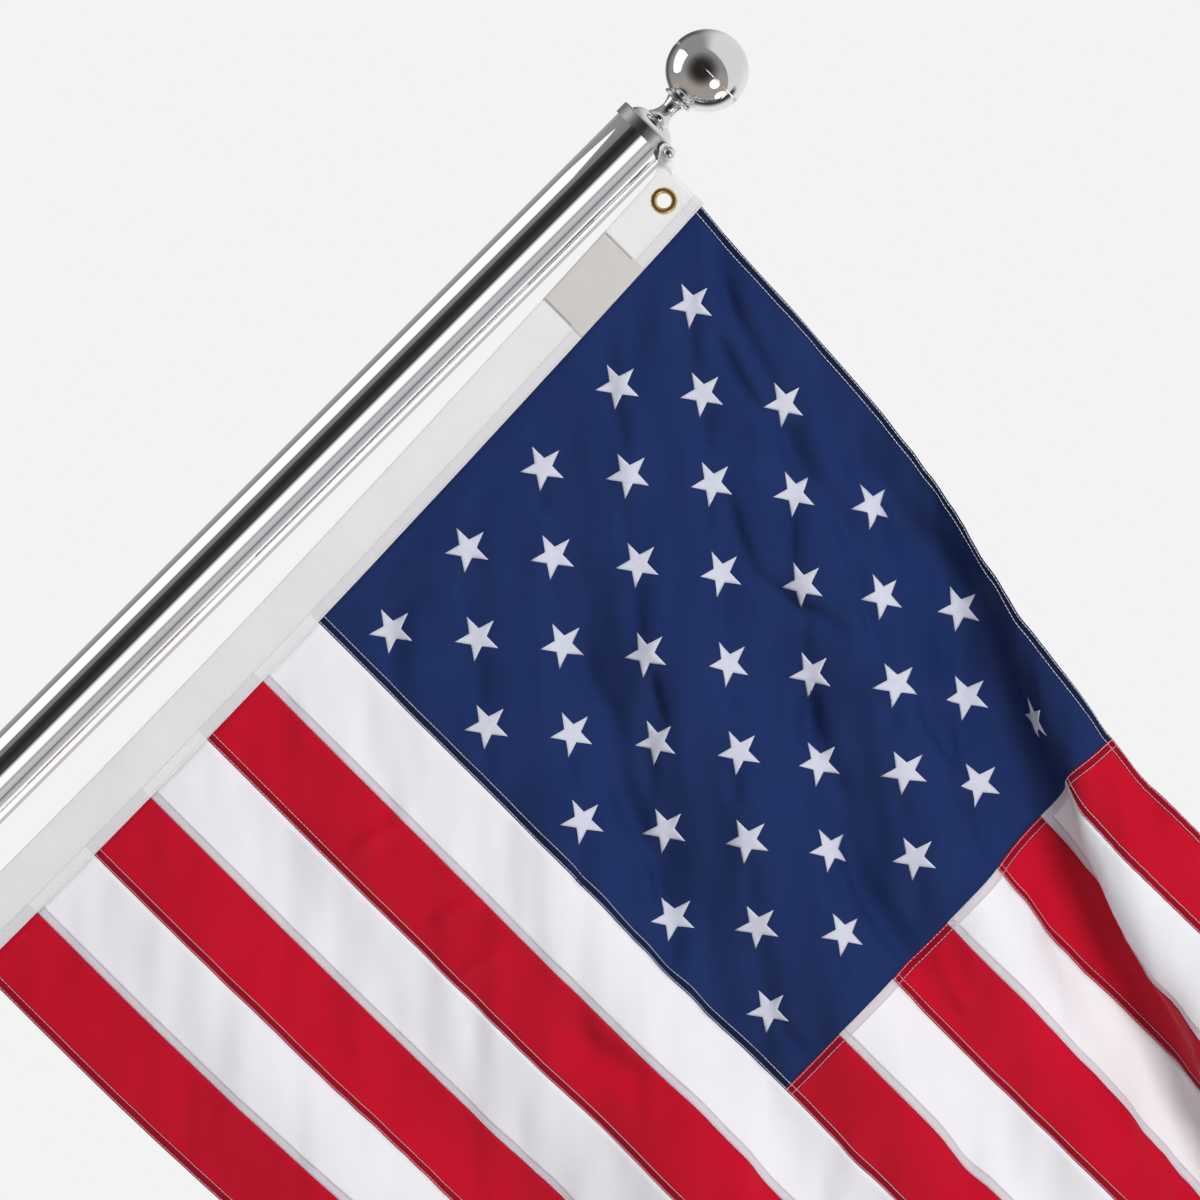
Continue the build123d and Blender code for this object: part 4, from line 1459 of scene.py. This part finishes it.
for spot, edge, full in LAMP_SPOTS:
    at_lamp = smooth_step(facing(Vector(spot).normalized()), edge, full)
    corner = blend(at_lamp, corner, LAMP_WHITE)
to_ends = smooth_step(math_node(tree, "ABSOLUTE", facing(ALONG)), *ENDS)
reflection = blend(to_ends, room.outputs["Color"], corner)
print("its corners have", len(LAMP_SPOTS), "small lamps")


# %% Who sees which light
def background_node(strength, colour=(1, 1, 1, 1)):
    """A background shader of one colour and strength."""
    made = tree.nodes.new("ShaderNodeBackground")
    made.inputs["Color"].default_value = colour
    made.inputs["Strength"].default_value = strength
    return made


backdrop = background_node(1.0, STUDIO_PALE)
reflected = background_node(1.0)
tree.links.new(reflection, reflected.inputs["Color"])
daylight = background_node(0.18, (0.97, 0.98, 1.0, 1))
path = tree.nodes.new("ShaderNodeLightPath")
world_out = tree.nodes.new("ShaderNodeOutputWorld")


def mixed(factor, first, second):
    """A mix of two shaders."""
    made = tree.nodes.new("ShaderNodeMixShader")
    tree.links.new(factor, made.inputs["Fac"])
    tree.links.new(first, made.inputs[1])
    tree.links.new(second, made.inputs[2])
    return made.outputs[0]


seen = math_node(
    tree, "MAXIMUM", path.outputs["Is Camera Ray"], path.outputs["Is Transmission Ray"]
)
lit = mixed(path.outputs["Is Glossy Ray"], daylight.outputs[0], reflected.outputs[0])
tree.links.new(mixed(seen, lit, backdrop.outputs[0]), world_out.inputs["Surface"])
print("daylight strength", round(daylight.inputs["Strength"].default_value, 2))

# %% [markdown]
# ## Lamps
#
# Soft lamps shape the folds. The large key lamp stands in front, high and to the
# right, so the slopes that face down along the pole fall into shade. It stands far
# off, so that both ends of the flag are lit alike. A weak fill lamp opens the shade,
# and a lamp behind lights the flag's other side.


# %% Lamps
def soft_lamp(name, location, target, size, watts):
    """A square area lamp that looks at a target."""
    data = bpy.data.lights.new(name, "AREA")
    data.shape = "SQUARE"
    data.size = size
    data.energy = watts
    lamp = bpy.data.objects.new(name, data)
    lamp.location = location
    lamp.rotation_euler = (Vector(target) - Vector(location)).to_track_quat("-Z", "Y").to_euler()
    lamp.visible_glossy = False
    bpy.context.scene.collection.objects.link(lamp)
    return lamp


AIM = (1.0, 0.0, 0.6)
# name, place, size in metres and watts
LAMPS = (
    ("key_lamp", (2.95, -3.55, 2.55), 1.5, 168),
    ("fill_lamp", (-1.6, -3.6, 0.6), 2.0, 8),
    ("back_lamp", (-0.2, 4.2, 1.9), 1.5, 120),
)
for name, location, size, watts in LAMPS:
    soft_lamp(name, location, AIM, size, watts)
print("lamps:", len(LAMPS))

# %% [markdown]
#
# The cloth is cut as one sheet for the canton and one for each stripe.

# %% Cloth sheets
print("sheets declared:", STRIPES + 1)
